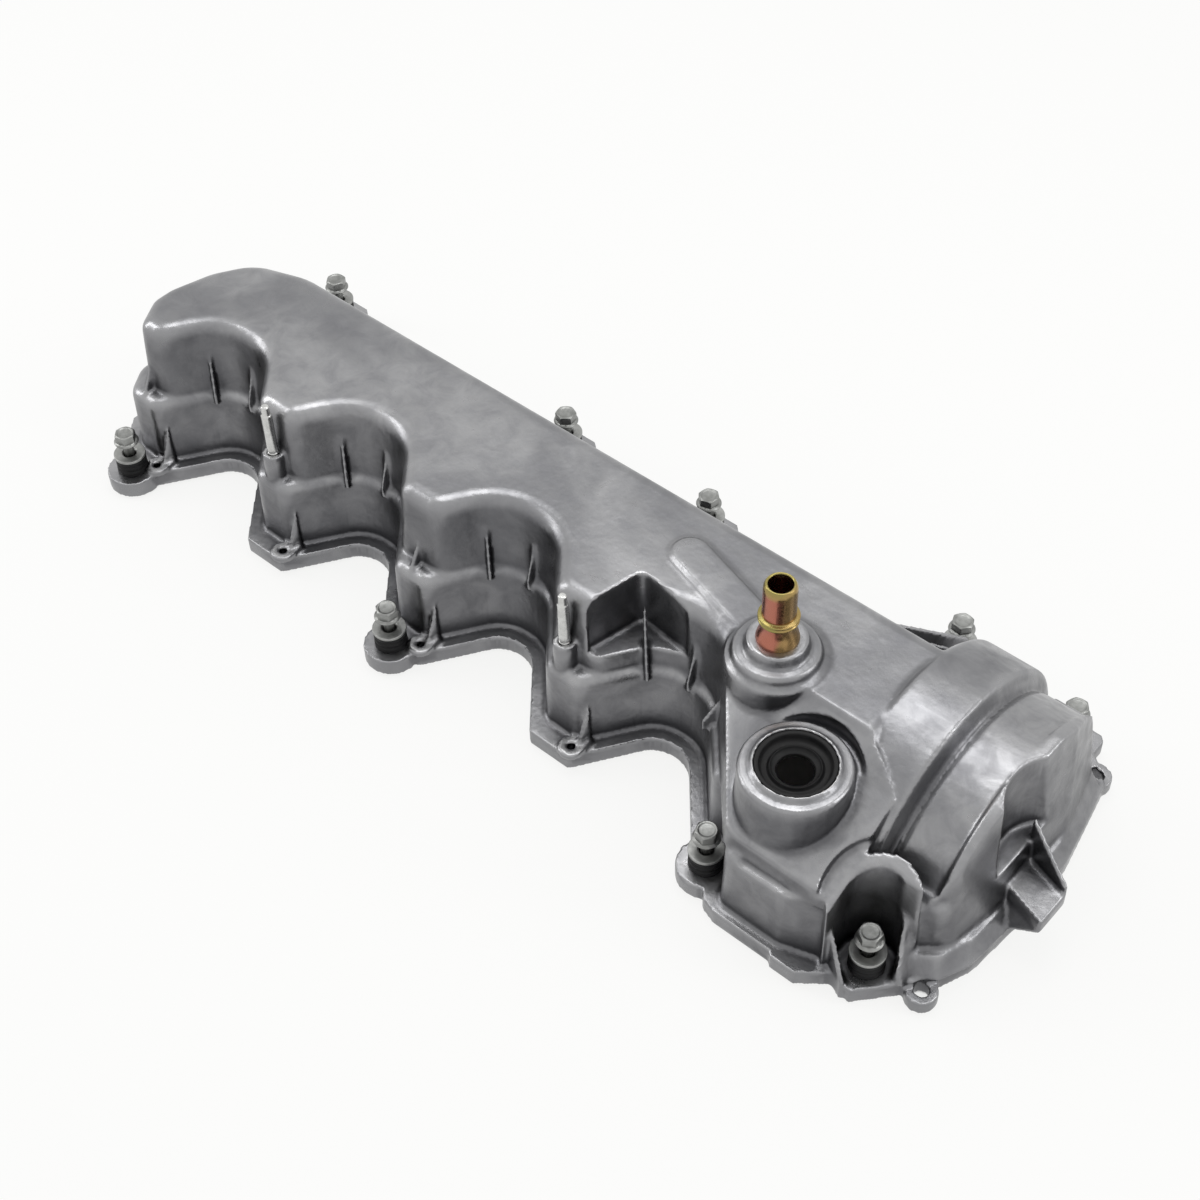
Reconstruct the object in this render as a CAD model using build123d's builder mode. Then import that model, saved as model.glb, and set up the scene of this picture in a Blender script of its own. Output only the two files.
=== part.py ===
"""Cast valve cover for one bank of four cylinders, with captive bolts, vent tube and port seal.

Plan positions are measured from the first coil boss: +X runs to the timing end, +Y to the far
side, +Z up. The datum plane carries them into the part's frame, whose origin is the middle of
the footprint on the plane that the cover rests on.
"""
from build123d import *
from math import cos, radians, sin, sqrt, tan
import os

os.makedirs("parts", exist_ok=True)

# Footprint, in plan from the first coil boss
BORE_PITCH = 100.0
BAYS = 4
REAR_END = -45.0
FRONT_END = 524.5
NEAR_EDGE = -28.0
FAR_EDGE = 181.0

# Heights above the resting plane
GASKET_PROUD = 0.8
FLANGE_TOP = 10.0
LEDGE_LIP = 44.0
LEDGE_ROUND = 6.0
LEDGE_TOP = LEDGE_LIP + LEDGE_ROUND
ROOF = 92.0
WALL = 3.5

# Scalloped bays along the near side
FLANGE_BAY_DEPTH = 34.7
FLANGE_BAY_LEFT = 23.5
FLANGE_BAY_RIGHT = 42.0
FLANGE_BAY_ROUND = 16.5
BAY_MIDDLE = (34.0, 17.2)
BAY_LEFT_ANGLE = 56.5
BAY_RIGHT_ANGLE = 49.5
FLANGE_NOSE_Y = -2.8
LOWER_INSET = 8.0
LOWER_NOSE_Y = 8.0
LOWER_LEAN = 1.2
UPPER_INSET = 12.5
UPPER_NOSE_Y = 18.5
UPPER_LEAN = 3.0
LOWER_NOSE_ROUND = 8.0
UPPER_NOSE_ROUND = 10.0

# Walls beyond the bays
LOWER_REAR = -36.0
UPPER_REAR = -31.5
LOWER_FAR = 133.0
UPPER_FAR = 108.0
FRONT_FAR = 145.0
FAR_FLANGE = 147.0
FRONT_FLANGE = 510.0
ROOF_ROUND = 8.0
REAR_ROUND = 28.0

# Sloping block at the near front corner
SKIRT_Y = -21.0
SHOULDER_Y = -16.0
SHOULDER_Z = 57.0
SLOPE_TOP_Y = 46.0
SLOPE_BREAK_Y = 30.0
SLOPE_BREAK_Z = 79.5
BLOCK_LEFT = 402.0
BLOCK_RIGHT = 459.0
LOWER_FRONT = 497.0

# Round timing housing
HOUSING_START = 428.0
HOUSING_STEP = 460.0
HOUSING_Y = 79.3
HOUSING_Z = 18.8
HOUSING_R = 76.7
HOUSING_FRONT_R = 69.0
HOUSING_RISE = 4.0
GROOVE_R = 67.4
GROOVE_W = 4.0
RIM_RISE = 2.0
RIM_START = 490.0
RIM_TOP = 52.0
NOSE_FRONT = 496.0
NOSE_LEAN = 9.0
NOSE_FOOT = 20.0
SCOOP_X = 514.0
SCOOP_Y = 68.0
SCOOP_R = 24.0
SCOOP_FLOOR = 42.0

# Captive bolts: plan positions of the near row and the far row
NEAR_BOLTS = [(-14.0, -6.0), (183.0, -5.0), (386.6, -7.5), (473.0, -4.0)]
FAR_BOLTS = [(-20.8, 156.5), (156.5, 156.5), (255.0, 156.5), (403.0, 168.0), (473.5, 158.0)]
PAD_R = 14.0
FAR_PAD_R = 13.0
BOLT_R = 3.0
BOLT_LENGTH = 29.0
HEAD_FLANGE_R = 6.6
HEAD_FLANGE_T = 1.6
HEAD_AF = 10.0
HEAD_HEIGHT = 5.4
BOLT_TIP = 1.0
SLEEVE_PLAY = 0.35
SLEEVE_WALL = 1.4
WASHER_R = 8.5
WASHER_T = 1.5
GROMMET_R = 8.3
GROMMET_NECK_R = 6.8
GROMMET_HEIGHT = 9.5
RUBBER_PLAY = 0.05
FIT_PLAY = 0.02
POCKET_R = 14.0
TOWER_WALL = 6.0
TOWER_ROOF = 74.0
STEP_R = 24.0
STEP_DROP = 5.0
TOWER_FALL = [(462.0, 68.0), (480.0, 42.0), (492.0, FLANGE_TOP)]

# Coil bosses on the bay feet
BOSS_X = -3.3
BOSS_Y = 2.0
BOSS_R = 6.5
BOSS_CORNER = (5.3, 9.5)
BOSS_GAP = 0.4
BOSS_HOLE_R = 2.1
BOSS_TOP = 12.5
BOSS_HOLE_DEPTH = 7.0

# Eared fixing holes at the timing end
EAR_TOP = 8.0
EAR_HOLE_R = 3.5
EAR_R = 7.6
EAR_CLEAR_R = 7.0
FAR_EAR = (493.6, 149.2)
NEAR_EAR = (498.0, 2.0)

# Harness studs on their towers
STUD_X = 85.0
STUD_Y = 16.2
STUD_SPACING = 197.5
POST_TOP = 65.0
POST_BASE_R = 5.7
STUD_R = 2.8
STUD_NECK_R = 2.2
STUD_TOP = 96.0
STUD_TIP = 5.0
STUD_HOLE_DEPTH = 11.0

# Vent tube and its stepped boss
VENT_X = 376.0
VENT_Y = 52.5
VENT_BOSS_R = 23.5
VENT_BOSS_TOP = 93.5
VENT_RING_R = 20.3
VENT_RING_TOP = 98.5
VENT_SEAT_R = 13.6
VENT_SEAT_TOP = 104.5
VENT_R = 7.6
VENT_WALL = 1.2
VENT_TOP = 138.5
VENT_SWAGE = 1.0
VENT_FLARE_R = 9.8
VENT_FLARE_TOP = 113.5
VENT_BEAD_Z = 118.0
VENT_BEAD_R = 9.4
VENT_BEAD_H = 3.0
VENT_FOOT = 84.0

# Round rubber port seal and its collar
PORT_X = 417.3
PORT_Y = 12.8
PORT_BORE_R = 18.0
COLLAR_R = 19.8
COLLAR_TOP = 89.0
LAND_R = 25.2
LAND_TOP = 87.0
PORT_FLOOR = 80.0
PORT_POCKET_R = 29.5
SEAL_DEPTH = 10.0
SEAL_LIP_R = 11.0
SEAL_HOLE_R = 8.5

# Triangular recess in the wall of the last bay
RECESS = [(291, 20, 3), (298, 53.5, 5), (333, 50, 5), (318, 20, 3)]
RECESS_FLOOR = 60.0

# Shallow slot along the near front wall
SLOT_X = 434.0
SLOT_Z = 48.5
SLOT_LENGTH = 38.0
SLOT_WIDTH = 5.0
SLOT_TILT = 2.0
SLOT_REACH = 9.4

# Ribs, gussets, and the tongue on the roof
TONGUE_START = (308.0, 76.0)
TONGUE_END = (362.0, 60.0)
TONGUE_W = 19.0
TONGUE_H = 2.2
RIB_T = 2.0
RIB_PROUD = 5.0
RIB_ROOT = 6.0
RIB_TOP = 86.0
RIB_ANGLES = (135.0, 90.0)
SHOULDER_FIN_Y = 12.0
WEB_T = 2.2

# Open pocket bracket on the timing end
BRACKET_SHELF = 30.0
BRACKET_PEAK = 55.0
BRACKET_T = 2.2
BRACKET_FRONT = FRONT_END

# Gasket in its groove
GASKET_W = 3.2
GASKET_H = 4.0
GASKET_OUT = 0.5
GROOVE_PLAY = 0.1

MID_X = (REAR_END + FRONT_END) / 2
MID_Y = (NEAR_EDGE + FAR_EDGE) / 2
UNDERSIDE = GASKET_PROUD
HEAD_SEAT = BOLT_LENGTH
WASHER_SEAT = FLANGE_TOP + GROMMET_HEIGHT
BOLTS = NEAR_BOLTS + FAR_BOLTS
POCKET_X, POCKET_Y = NEAR_BOLTS[-1]
PAD_HOLE_R = GROMMET_NECK_R + RUBBER_PLAY
SLEEVE_BORE_R = BOLT_R + SLEEVE_PLAY
SLEEVE_R = SLEEVE_BORE_R + SLEEVE_WALL
datum = Plane(origin=(-MID_X, -MID_Y, 0))


def level(height):
    """The datum plane at a height above the resting plane."""
    return datum.offset(height)


def spot(x, y, height):
    """An upright plane at one plan position, its X axis outward and its Y axis up."""
    return Plane(origin=(x - MID_X, y - MID_Y, height), x_dir=(1, 0, 0), z_dir=(0, -1, 0))


def section(x):
    """A plane across the cover, its X axis to the far side and its Y axis up."""
    return Plane(origin=(x - MID_X, -MID_Y, 0), x_dir=(0, 1, 0), z_dir=(1, 0, 0))


def face_of(corners):
    """A closed outline from corners (x, y, corner radius)."""
    with BuildSketch(mode=Mode.PRIVATE) as sketch:
        with BuildLine():
            FilletPolyline([(x, y) for x, y, r in corners], radius=[r for x, y, r in corners], close=True)
        make_face()
    return sketch.sketch


def turned(x, y, profile):
    """A body of revolution about an upright axis, from points (radius, height)."""
    with BuildPart(mode=Mode.PRIVATE) as body:
        with BuildSketch(spot(x, y, 0)):
            with BuildLine():
                Polyline(profile, close=True)
            make_face()
        revolve(axis=Axis((x - MID_X, y - MID_Y, 0), (0, 0, 1)))
    return body.part


def bay_corners(bay, inset, nose_y, nose_round):
    """Corners of one scalloped bay whose walls stand back from the flange's bay by inset."""
    left_lean = tan(radians(BAY_LEFT_ANGLE))
    right_lean = tan(radians(BAY_RIGHT_ANGLE))
    depth = FLANGE_BAY_DEPTH + inset
    left = BORE_PITCH * bay + FLANGE_BAY_LEFT - inset * tan(radians(BAY_LEFT_ANGLE / 2))
    right = BORE_PITCH * bay + FLANGE_BAY_RIGHT + inset * tan(radians(BAY_RIGHT_ANGLE / 2))
    bay_round = FLANGE_BAY_ROUND + inset
    return [
        (left - (depth - nose_y) / left_lean, nose_y, nose_round),
        (left, depth, bay_round),
        (right, depth, bay_round),
        (right + (depth - nose_y) / right_lean, nose_y, nose_round),
    ]


def all_bays(inset, nose_y, nose_round):
    """The scalloped near edge, from the rear to the timing end."""
    corners = []
    for bay in range(BAYS):
        corners += bay_corners(bay, inset, nose_y, nose_round)
    return corners


def flange_outline():
    """Outer edge of the flange plate, without pads and ears."""
    rear = [(REAR_END, 20, 8), (-27, FLANGE_NOSE_Y, 4)]
    skirt = [
        (385, FLANGE_NOSE_Y, 0), (397, -23, 4), (406, -26, 5), (437, -26, 3), (439, NEAR_EDGE, 2),
        (451.5, NEAR_EDGE, 3), (464, -18, 3), (475.5, -20, 2), (489, -4.5, 2),
    ]
    front = [(501, 10.5, 4), (507.5, 27, 14), (FRONT_FLANGE, 60, 30), (FRONT_FLANGE, 98, 30), (500, 146, 6)]
    far = [
        (488, FRONT_FAR + 13, 8), (426, FRONT_FAR + 13, 5), (412, FAR_FLANGE, 8), (-14, FAR_FLANGE, 20),
        (REAR_END, 120, 30),
    ]
    return face_of(rear + all_bays(0, FLANGE_NOSE_Y, 3) + skirt + front + far)


def lower_outline(inset):
    """Outside of the lower walls, drawn inward by inset; it passes behind the front bolt's pocket."""
    rear = [(LOWER_REAR + inset, 25 + inset * 0.3, 12), (-25 + inset * 0.5, LOWER_NOSE_Y + inset, 12)]
    skirt = [
        (BLOCK_LEFT - 3 + inset, LOWER_NOSE_Y + inset, 0), (BLOCK_LEFT + inset, SKIRT_Y + inset, 8),
        (437, SKIRT_Y + inset, 10), (POCKET_X - POCKET_R - inset, SKIRT_Y + 7 + inset, 4),
    ]
    pocket = [
        (POCKET_X - POCKET_R - inset, POCKET_Y + POCKET_R + inset, POCKET_R + inset),
        (POCKET_X + 9, POCKET_Y + POCKET_R + inset, 6),
    ]
    front = [
        (LOWER_FRONT - inset, 16 + inset, 8), (LOWER_FRONT - inset, 108, 20),
        (LOWER_FRONT - 8 - inset, FRONT_FAR - inset, 12),
    ]
    far = [
        (430, FRONT_FAR - inset, 8), (420, LOWER_FAR - inset, 8),
        (LOWER_REAR + inset, LOWER_FAR - inset, REAR_ROUND),
    ]
    bays = all_bays(LOWER_INSET + inset, LOWER_NOSE_Y + inset, LOWER_NOSE_ROUND)
    return face_of(rear + bays + skirt + pocket + front + far)


def upper_outline(inset):
    """Outside of the upper walls, drawn inward by inset."""
    corner = 11 - inset * 0.6
    rear = [(UPPER_REAR + inset, 38 + inset * 0.4, corner), (-20 + inset * 0.5, UPPER_NOSE_Y + inset, corner)]
    block = [
        (BLOCK_LEFT + inset, SHOULDER_Y + inset, 9), (BLOCK_RIGHT - inset, SHOULDER_Y + inset, 9),
        (BLOCK_RIGHT - inset, 30, 0), (HOUSING_START + 12 - inset, 44, 0),
    ]
    far = [
        (HOUSING_START + 12 - inset, UPPER_FAR - inset, 0), (UPPER_REAR + 53, UPPER_FAR - inset, 40),
        (UPPER_REAR + 20 + inset * 0.7, UPPER_FAR - 11 - inset * 0.7, 28),
        (UPPER_REAR + 6.5 + inset, UPPER_FAR - 33 - inset * 0.2, 26), (UPPER_REAR + inset, 51, 18),
    ]
    bays = all_bays(UPPER_INSET + inset, UPPER_NOSE_Y + inset, UPPER_NOSE_ROUND)
    bays.pop()
    return face_of(rear + bays + block + far)


def drafted(bottom_face, top_face, bottom, top, rounding):
    """A walled body lofted between two outlines of the same corners, its top edge rounded."""
    with BuildPart(mode=Mode.PRIVATE) as body:
        with BuildSketch(level(bottom)):
            add(bottom_face)
        with BuildSketch(level(top)):
            add(top_face)
        loft(ruled=True)
        for share in (1, 0.8, 0.6, 0.4) if rounding > 0 else ():
            try:
                fillet(body.faces().sort_by(Axis.Z)[-1].edges(), rounding * share)
                break
            except ValueError:
                continue
    return body.part


def sloped_cut(drop):
    """What lies above the sloping near front corner, the slope lowered by drop."""
    fall = (SLOPE_BREAK_Z - SHOULDER_Z) / (SLOPE_BREAK_Y - SHOULDER_Y)
    reach = 30
    with BuildPart(mode=Mode.PRIVATE) as body:
        with BuildSketch(section(345)):
            with BuildLine():
                Polyline(
                    (SLOPE_TOP_Y, ROOF - drop),
                    (SLOPE_BREAK_Y, SLOPE_BREAK_Z - drop),
                    (SHOULDER_Y - reach, SHOULDER_Z - drop - fall * reach),
                    (SHOULDER_Y - reach, ROOF + reach),
                    (SLOPE_TOP_Y, ROOF + reach),
                    close=True,
                )
            make_face()
        extrude(amount=BLOCK_RIGHT + 30 - 345)
    return body.part


def housing(inset):
    """Round timing housing about its lengthwise axis, drawn inward by inset."""
    crown = HOUSING_R - inset
    front = HOUSING_FRONT_R - inset
    start = HOUSING_START + inset
    step = HOUSING_STEP - inset
    groove = GROOVE_R - inset
    with BuildPart(mode=Mode.PRIVATE) as body:
        with BuildSketch(spot(0, HOUSING_Y, HOUSING_Z)):
            with BuildLine():
                Polyline(
                    (start, 0),
                    (start, crown - HOUSING_RISE),
                    (start + HOUSING_RISE, crown),
                    (step, crown),
                    (step + HOUSING_RISE, groove),
                    (step + HOUSING_RISE + GROOVE_W, front),
                    (NOSE_FRONT + 20, front),
                    (NOSE_FRONT + 20, 0),
                    close=True,
                )
            make_face()
        revolve(axis=Axis((0, HOUSING_Y - MID_Y, HOUSING_Z), (1, 0, 0)))
    return body.part


def nose_outline(inset):
    """Plan outline of the front of the timing housing, drawn inward by inset."""
    front = NOSE_FRONT + NOSE_LEAN - inset
    near = POCKET_Y + 12 + inset
    return face_of([
        (440, near, 0), (POCKET_X + POCKET_R, near, 0), (front - 4, near + 10, 12), (front, 50, 10),
        (front, 108, 10), (front - 10, FRONT_FAR + 4 - inset, 12), (440, FRONT_FAR + 4 - inset, 0),
    ])


def nose_rim():
    """Raised edge of the housing's front, below and ahead of its dished fan."""
    with BuildPart(mode=Mode.PRIVATE) as body:
        with BuildSketch(section(HOUSING_STEP + HOUSING_RISE + GROOVE_W)):
            with Locations((HOUSING_Y, HOUSING_Z)):
                Circle(HOUSING_FRONT_R + RIM_RISE)
        extrude(amount=NOSE_FRONT - HOUSING_STEP + 20)
    return body.part - upper_space(RIM_START, RIM_TOP)


def tower_fall():
    """What lies above the tower's edge, which falls away toward the timing end."""
    left, right = TOWER_FALL[0][0], FRONT_END
    with BuildPart(mode=Mode.PRIVATE) as body:
        with BuildSketch(spot(0, POCKET_Y + POCKET_R - 1, 0)):
            with BuildLine():
                Polyline(*TOWER_FALL, (right, FLANGE_TOP), (right, VENT_TOP), (left, VENT_TOP), close=True)
            make_face()
        extrude(amount=2 * POCKET_R + TOWER_WALL)
    return body.part


def low_slab(height):
    """Everything up to a height, wide enough for the whole cover."""
    with BuildPart(mode=Mode.PRIVATE) as body:
        with BuildSketch(level(UNDERSIDE)):
            Rectangle(FRONT_END + 100, FAR_EDGE + 100, align=(Align.MIN, Align.MIN))
        extrude(amount=height - UNDERSIDE)
    return body.part


def web(start, end, top_start, top_end, foot, width):
    """A thin upright plate between two plan points."""
    run = sqrt((end[0] - start[0]) ** 2 + (end[1] - start[1]) ** 2)
    across = (end[1] - start[1], start[0] - end[0], 0)
    along = (end[0] - start[0], end[1] - start[1], 0)
    with BuildPart(mode=Mode.PRIVATE) as body:
        with BuildSketch(Plane(origin=(start[0] - MID_X, start[1] - MID_Y, 0), x_dir=along, z_dir=across)):
            Polygon((0, foot), (run, foot), (run, top_end), (0, top_start), align=None)
        extrude(amount=width / 2, both=True)
    return body.part


def wedge(start, end, half_start, half_end, bottom, top):
    """An upright block between two round ends in plan, used for the tongue on the roof."""
    with BuildPart(mode=Mode.PRIVATE) as body:
        with BuildSketch(level(bottom)) as sketch:
            with Locations(start):
                Circle(half_start)
            with Locations(end):
                Circle(half_end)
            make_hull()
        extrude(amount=top - bottom)
        chamfer(body.faces().sort_by(Axis.Z)[-1].edges(), (top - bottom) * 0.4)
    return body.part


def bay_ribs():
    """Radial fins on the upper wall of every bay."""
    ribs = []
    reach = FLANGE_BAY_DEPTH + UPPER_INSET - BAY_MIDDLE[1]
    for bay in range(BAYS):
        for angle in RIB_ANGLES:
            out = (cos(radians(angle)), sin(radians(angle)))
            middle = (BORE_PITCH * bay + BAY_MIDDLE[0], BAY_MIDDLE[1])
            inner = (middle[0] + (reach - RIB_PROUD) * out[0], middle[1] + (reach - RIB_PROUD) * out[1])
            outer = (middle[0] + (reach + RIB_ROOT) * out[0], middle[1] + (reach + RIB_ROOT) * out[1])
            ribs.append(web(inner, outer, LEDGE_TOP, RIB_TOP, LEDGE_LIP, RIB_T))
    return ribs


def bracket():
    """Solid under the open pocket on the front wall, widening from the flange to its shelf."""
    shelf = [(494, 59), (BRACKET_FRONT, 48.8), (BRACKET_FRONT, 68.4), (505, 75), (494, 78)]
    foot = [(494, 50), (508, 49), (510, 66), (505, 76), (494, 78)]
    with BuildPart(mode=Mode.PRIVATE) as body:
        with BuildSketch(level(FLANGE_TOP)):
            Polygon(foot, align=None)
        with BuildSketch(level(BRACKET_SHELF - 8)):
            Polygon(shelf, align=None)
        loft(ruled=True)
        with BuildSketch(level(BRACKET_SHELF - 8)):
            Polygon(shelf, align=None)
        extrude(amount=8)
    return body.part


def apron():
    """Sloping foot of the front walls on the flange."""
    foot = [(484, 0, 0), (489, 1, 2), (501, 8, 5), (508, 22, 10), (510, 49, 8), (510, 98, 20), (499, 146, 8),
            (484, 150, 0)]
    top = [(484, 5, 0), (487, 5, 2), (498, 13, 5), (503.5, 30, 10), (505, 49, 8), (505, 98, 20), (494, 143, 8),
           (484, 147, 0)]
    return drafted(face_of(foot), face_of(top), FLANGE_TOP, NOSE_FOOT, 0)


def gasket_ring(play):
    """Ring of the gasket or its groove; play widens it on every side."""
    middle = lower_outline(-GASKET_OUT)
    half = GASKET_W / 2 + play
    outer = offset(middle, amount=half)
    inner = offset(middle, amount=-half)
    with BuildPart(mode=Mode.PRIVATE) as ring:
        with BuildSketch(level(0)):
            add(outer)
            add(inner, mode=Mode.SUBTRACT)
        extrude(amount=GASKET_H + play)
    return ring.part


def boss_pads():
    """Plan of the coil bosses, each drawn out to a corner at the wall and cut clear of the rubber beside it."""
    with BuildSketch(mode=Mode.PRIVATE) as sketch:
        for bay in range(BAYS):
            with Locations((BOSS_X + BORE_PITCH * bay, BOSS_Y)):
                Circle(BOSS_R)
                Polygon((-BOSS_R * 0.65, BOSS_R * 0.76), BOSS_CORNER, (BOSS_R * 0.99, 1), align=None)
        with Locations(*NEAR_BOLTS):
            Circle(GROMMET_R + BOSS_GAP, mode=Mode.SUBTRACT)
    return sketch.sketch


def far_pads():
    """Plan of the far bolt pads, each with a blunt corner toward the timing end."""
    with BuildSketch(mode=Mode.PRIVATE) as sketch:
        for x, y in FAR_BOLTS:
            with Locations((x, y)):
                Circle(FAR_PAD_R)
                Polygon((0, 0), (FAR_PAD_R, 0), (FAR_PAD_R, 9), (10, 12), (0, FAR_PAD_R), align=None)
        x, y = FAR_BOLTS[3]
        root = FAR_FLANGE - 8
        Polygon((x - 14, root), (x + 16, root), (x + 12, y + 4), (x - 12, y + 2), align=None)
    return sketch.sketch


def hollow_bodies():
    """The room inside the cover: low walls, upper walls, round housing and its front."""
    low = drafted(lower_outline(WALL), lower_outline(WALL + LOWER_LEAN), -1, LEDGE_TOP - WALL, 3)
    high = drafted(upper_outline(WALL), upper_outline(WALL + UPPER_LEAN), LEDGE_TOP - 2 * WALL, ROOF - WALL, 5)
    high = high - sloped_cut(WALL * 1.2)
    drum = housing(WALL)
    nose_top = HOUSING_Z + HOUSING_FRONT_R - WALL
    nose = drafted(nose_outline(WALL), nose_outline(WALL + NOSE_LEAN), UNDERSIDE, nose_top, 0)
    nose = nose & drum & upper_space(FRONT_END, LEDGE_LIP - WALL)
    inside = low + high + (drum & upper_space(BLOCK_RIGHT, -1)) + nose
    solids = post_solids()
    return inside - solids


def upper_space(front, bottom):
    """Everything above a height and behind a cross section."""
    with BuildPart(mode=Mode.PRIVATE) as body:
        with BuildSketch(level(bottom)):
            Rectangle(front, FAR_EDGE + 40, align=(Align.MIN, Align.MIN))
        extrude(amount=VENT_TOP)
    return body.part


def post_solids():
    """Metal kept inside the walls: around the port, the front bolt, the far ear, the recess and the posts."""
    with BuildPart(mode=Mode.PRIVATE) as body:
        with BuildSketch(level(PORT_FLOOR - WALL)):
            with Locations((PORT_X, PORT_Y)):
                Circle(PORT_POCKET_R + WALL)
        extrude(amount=ROOF)
        with BuildSketch(level(-2)):
            with Locations((POCKET_X, POCKET_Y)):
                Circle(POCKET_R + WALL)
        extrude(amount=ROOF)
        with BuildSketch(level(LEDGE_LIP)):
            with Locations((POCKET_X, POCKET_Y)):
                Circle(STEP_R + WALL)
        extrude(amount=ROOF)
        with BuildSketch(level(LEDGE_LIP)):
            with Locations((STUD_X, STUD_Y), (STUD_X + STUD_SPACING, STUD_Y)):
                Circle(POST_BASE_R + 1)
        extrude(amount=POST_TOP - LEDGE_LIP)
        with BuildSketch(level(FLANGE_TOP - WALL)):
            with Locations(FAR_EAR):
                Circle(EAR_CLEAR_R + WALL)
        extrude(amount=ROOF)
        with BuildSketch(level(RECESS_FLOOR - WALL)):
            add(offset(face_of(RECESS), amount=WALL))
        extrude(amount=ROOF)
        with BuildSketch(level(SCOOP_FLOOR - WALL)):
            with Locations((SCOOP_X, SCOOP_Y)):
                Circle(SCOOP_R + WALL)
        extrude(amount=ROOF)
    return body.part


lower_body = drafted(lower_outline(0), lower_outline(LOWER_LEAN), UNDERSIDE, LEDGE_TOP, LEDGE_ROUND)
upper_body = drafted(upper_outline(0), upper_outline(UPPER_LEAN), LEDGE_TOP - WALL, ROOF, ROOF_ROUND)
upper_body = upper_body - sloped_cut(0)
drum = housing(0) & upper_space(BLOCK_RIGHT + 6, UNDERSIDE)
nose_top = HOUSING_Z + HOUSING_FRONT_R
nose = drafted(nose_outline(0), nose_outline(NOSE_LEAN), UNDERSIDE, nose_top, 0)
nose = nose & (housing(0) + nose_rim() + low_slab(HOUSING_Z + 4))
inside = hollow_bodies()
pads = far_pads()
bosses = boss_pads()
shelf_body = bracket()
apron_body = apron()
ribs = bay_ribs()
slope = sloped_cut(0)
groove = gasket_ring(GROOVE_PLAY)
tongue = wedge(TONGUE_START, TONGUE_END, TONGUE_W / 2, TONGUE_W / 2, ROOF - 1, ROOF + TONGUE_H)
vent_boss = turned(VENT_X, VENT_Y, [
    (0, ROOF - 12), (VENT_BOSS_R, ROOF - 12), (VENT_BOSS_R, VENT_BOSS_TOP - 1.5),
    (VENT_BOSS_R - 1, VENT_BOSS_TOP), (VENT_RING_R, VENT_BOSS_TOP), (VENT_RING_R, VENT_RING_TOP - 2),
    (VENT_RING_R - 1.5, VENT_RING_TOP), (VENT_SEAT_R + 1.5, VENT_RING_TOP), (VENT_SEAT_R, VENT_SEAT_TOP),
    (0, VENT_SEAT_TOP),
])
collar = turned(PORT_X, PORT_Y, [
    (0, LEDGE_LIP), (LAND_R + 1, LEDGE_LIP), (LAND_R, LAND_TOP - 1), (LAND_R - 1, LAND_TOP),
    (COLLAR_R + 0.6, LAND_TOP), (COLLAR_R, COLLAR_TOP - 0.5), (COLLAR_R - 0.5, COLLAR_TOP), (0, COLLAR_TOP),
])
pocket_step = turned(POCKET_X, POCKET_Y, [
    (0, LEDGE_LIP), (STEP_R, LEDGE_LIP), (STEP_R, VENT_TOP), (0, VENT_TOP),
]) & sloped_cut(STEP_DROP)
fall = tower_fall()
fins = [
    web((388, 96), (412, 158), ROOF - 3, 38, FLANGE_TOP, WEB_T),
    web((395, 94), (420, 132), ROOF - 3, 58, FLANGE_TOP, WEB_T),
    web((403, 92), (430, 124), ROOF - 3, 62, FLANGE_TOP, WEB_T),
]
gussets = [
    web((-15, 26), (-15, SHOULDER_FIN_Y), 76, LEDGE_TOP, LEDGE_LIP, RIB_T),
    web((184.7, 26), (184.7, SHOULDER_FIN_Y), 76, LEDGE_TOP, LEDGE_LIP, RIB_T),
    web((362, 38), (353, 30), 72, LEDGE_TOP, LEDGE_LIP, RIB_T),
    web((499, 77), (BRACKET_FRONT - 0.5, 69), BRACKET_PEAK, BRACKET_SHELF + 4, FLANGE_TOP + 10, BRACKET_T),
]
pocket_webs = [
    web((457, -12), (472, -20), 38, FLANGE_TOP + 2, UNDERSIDE, BRACKET_T),
    web((482, 9), (487.5, -4), 42, FLANGE_TOP + 2, UNDERSIDE, BRACKET_T),
]
foot_fins = []
for bay in range(BAYS):
    x = BOSS_X + BORE_PITCH * bay + 3
    foot_fins.append(web((x, 12), (x - 2, 5.5), LEDGE_LIP - 10, BOSS_TOP, UNDERSIDE, RIB_T))

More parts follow.
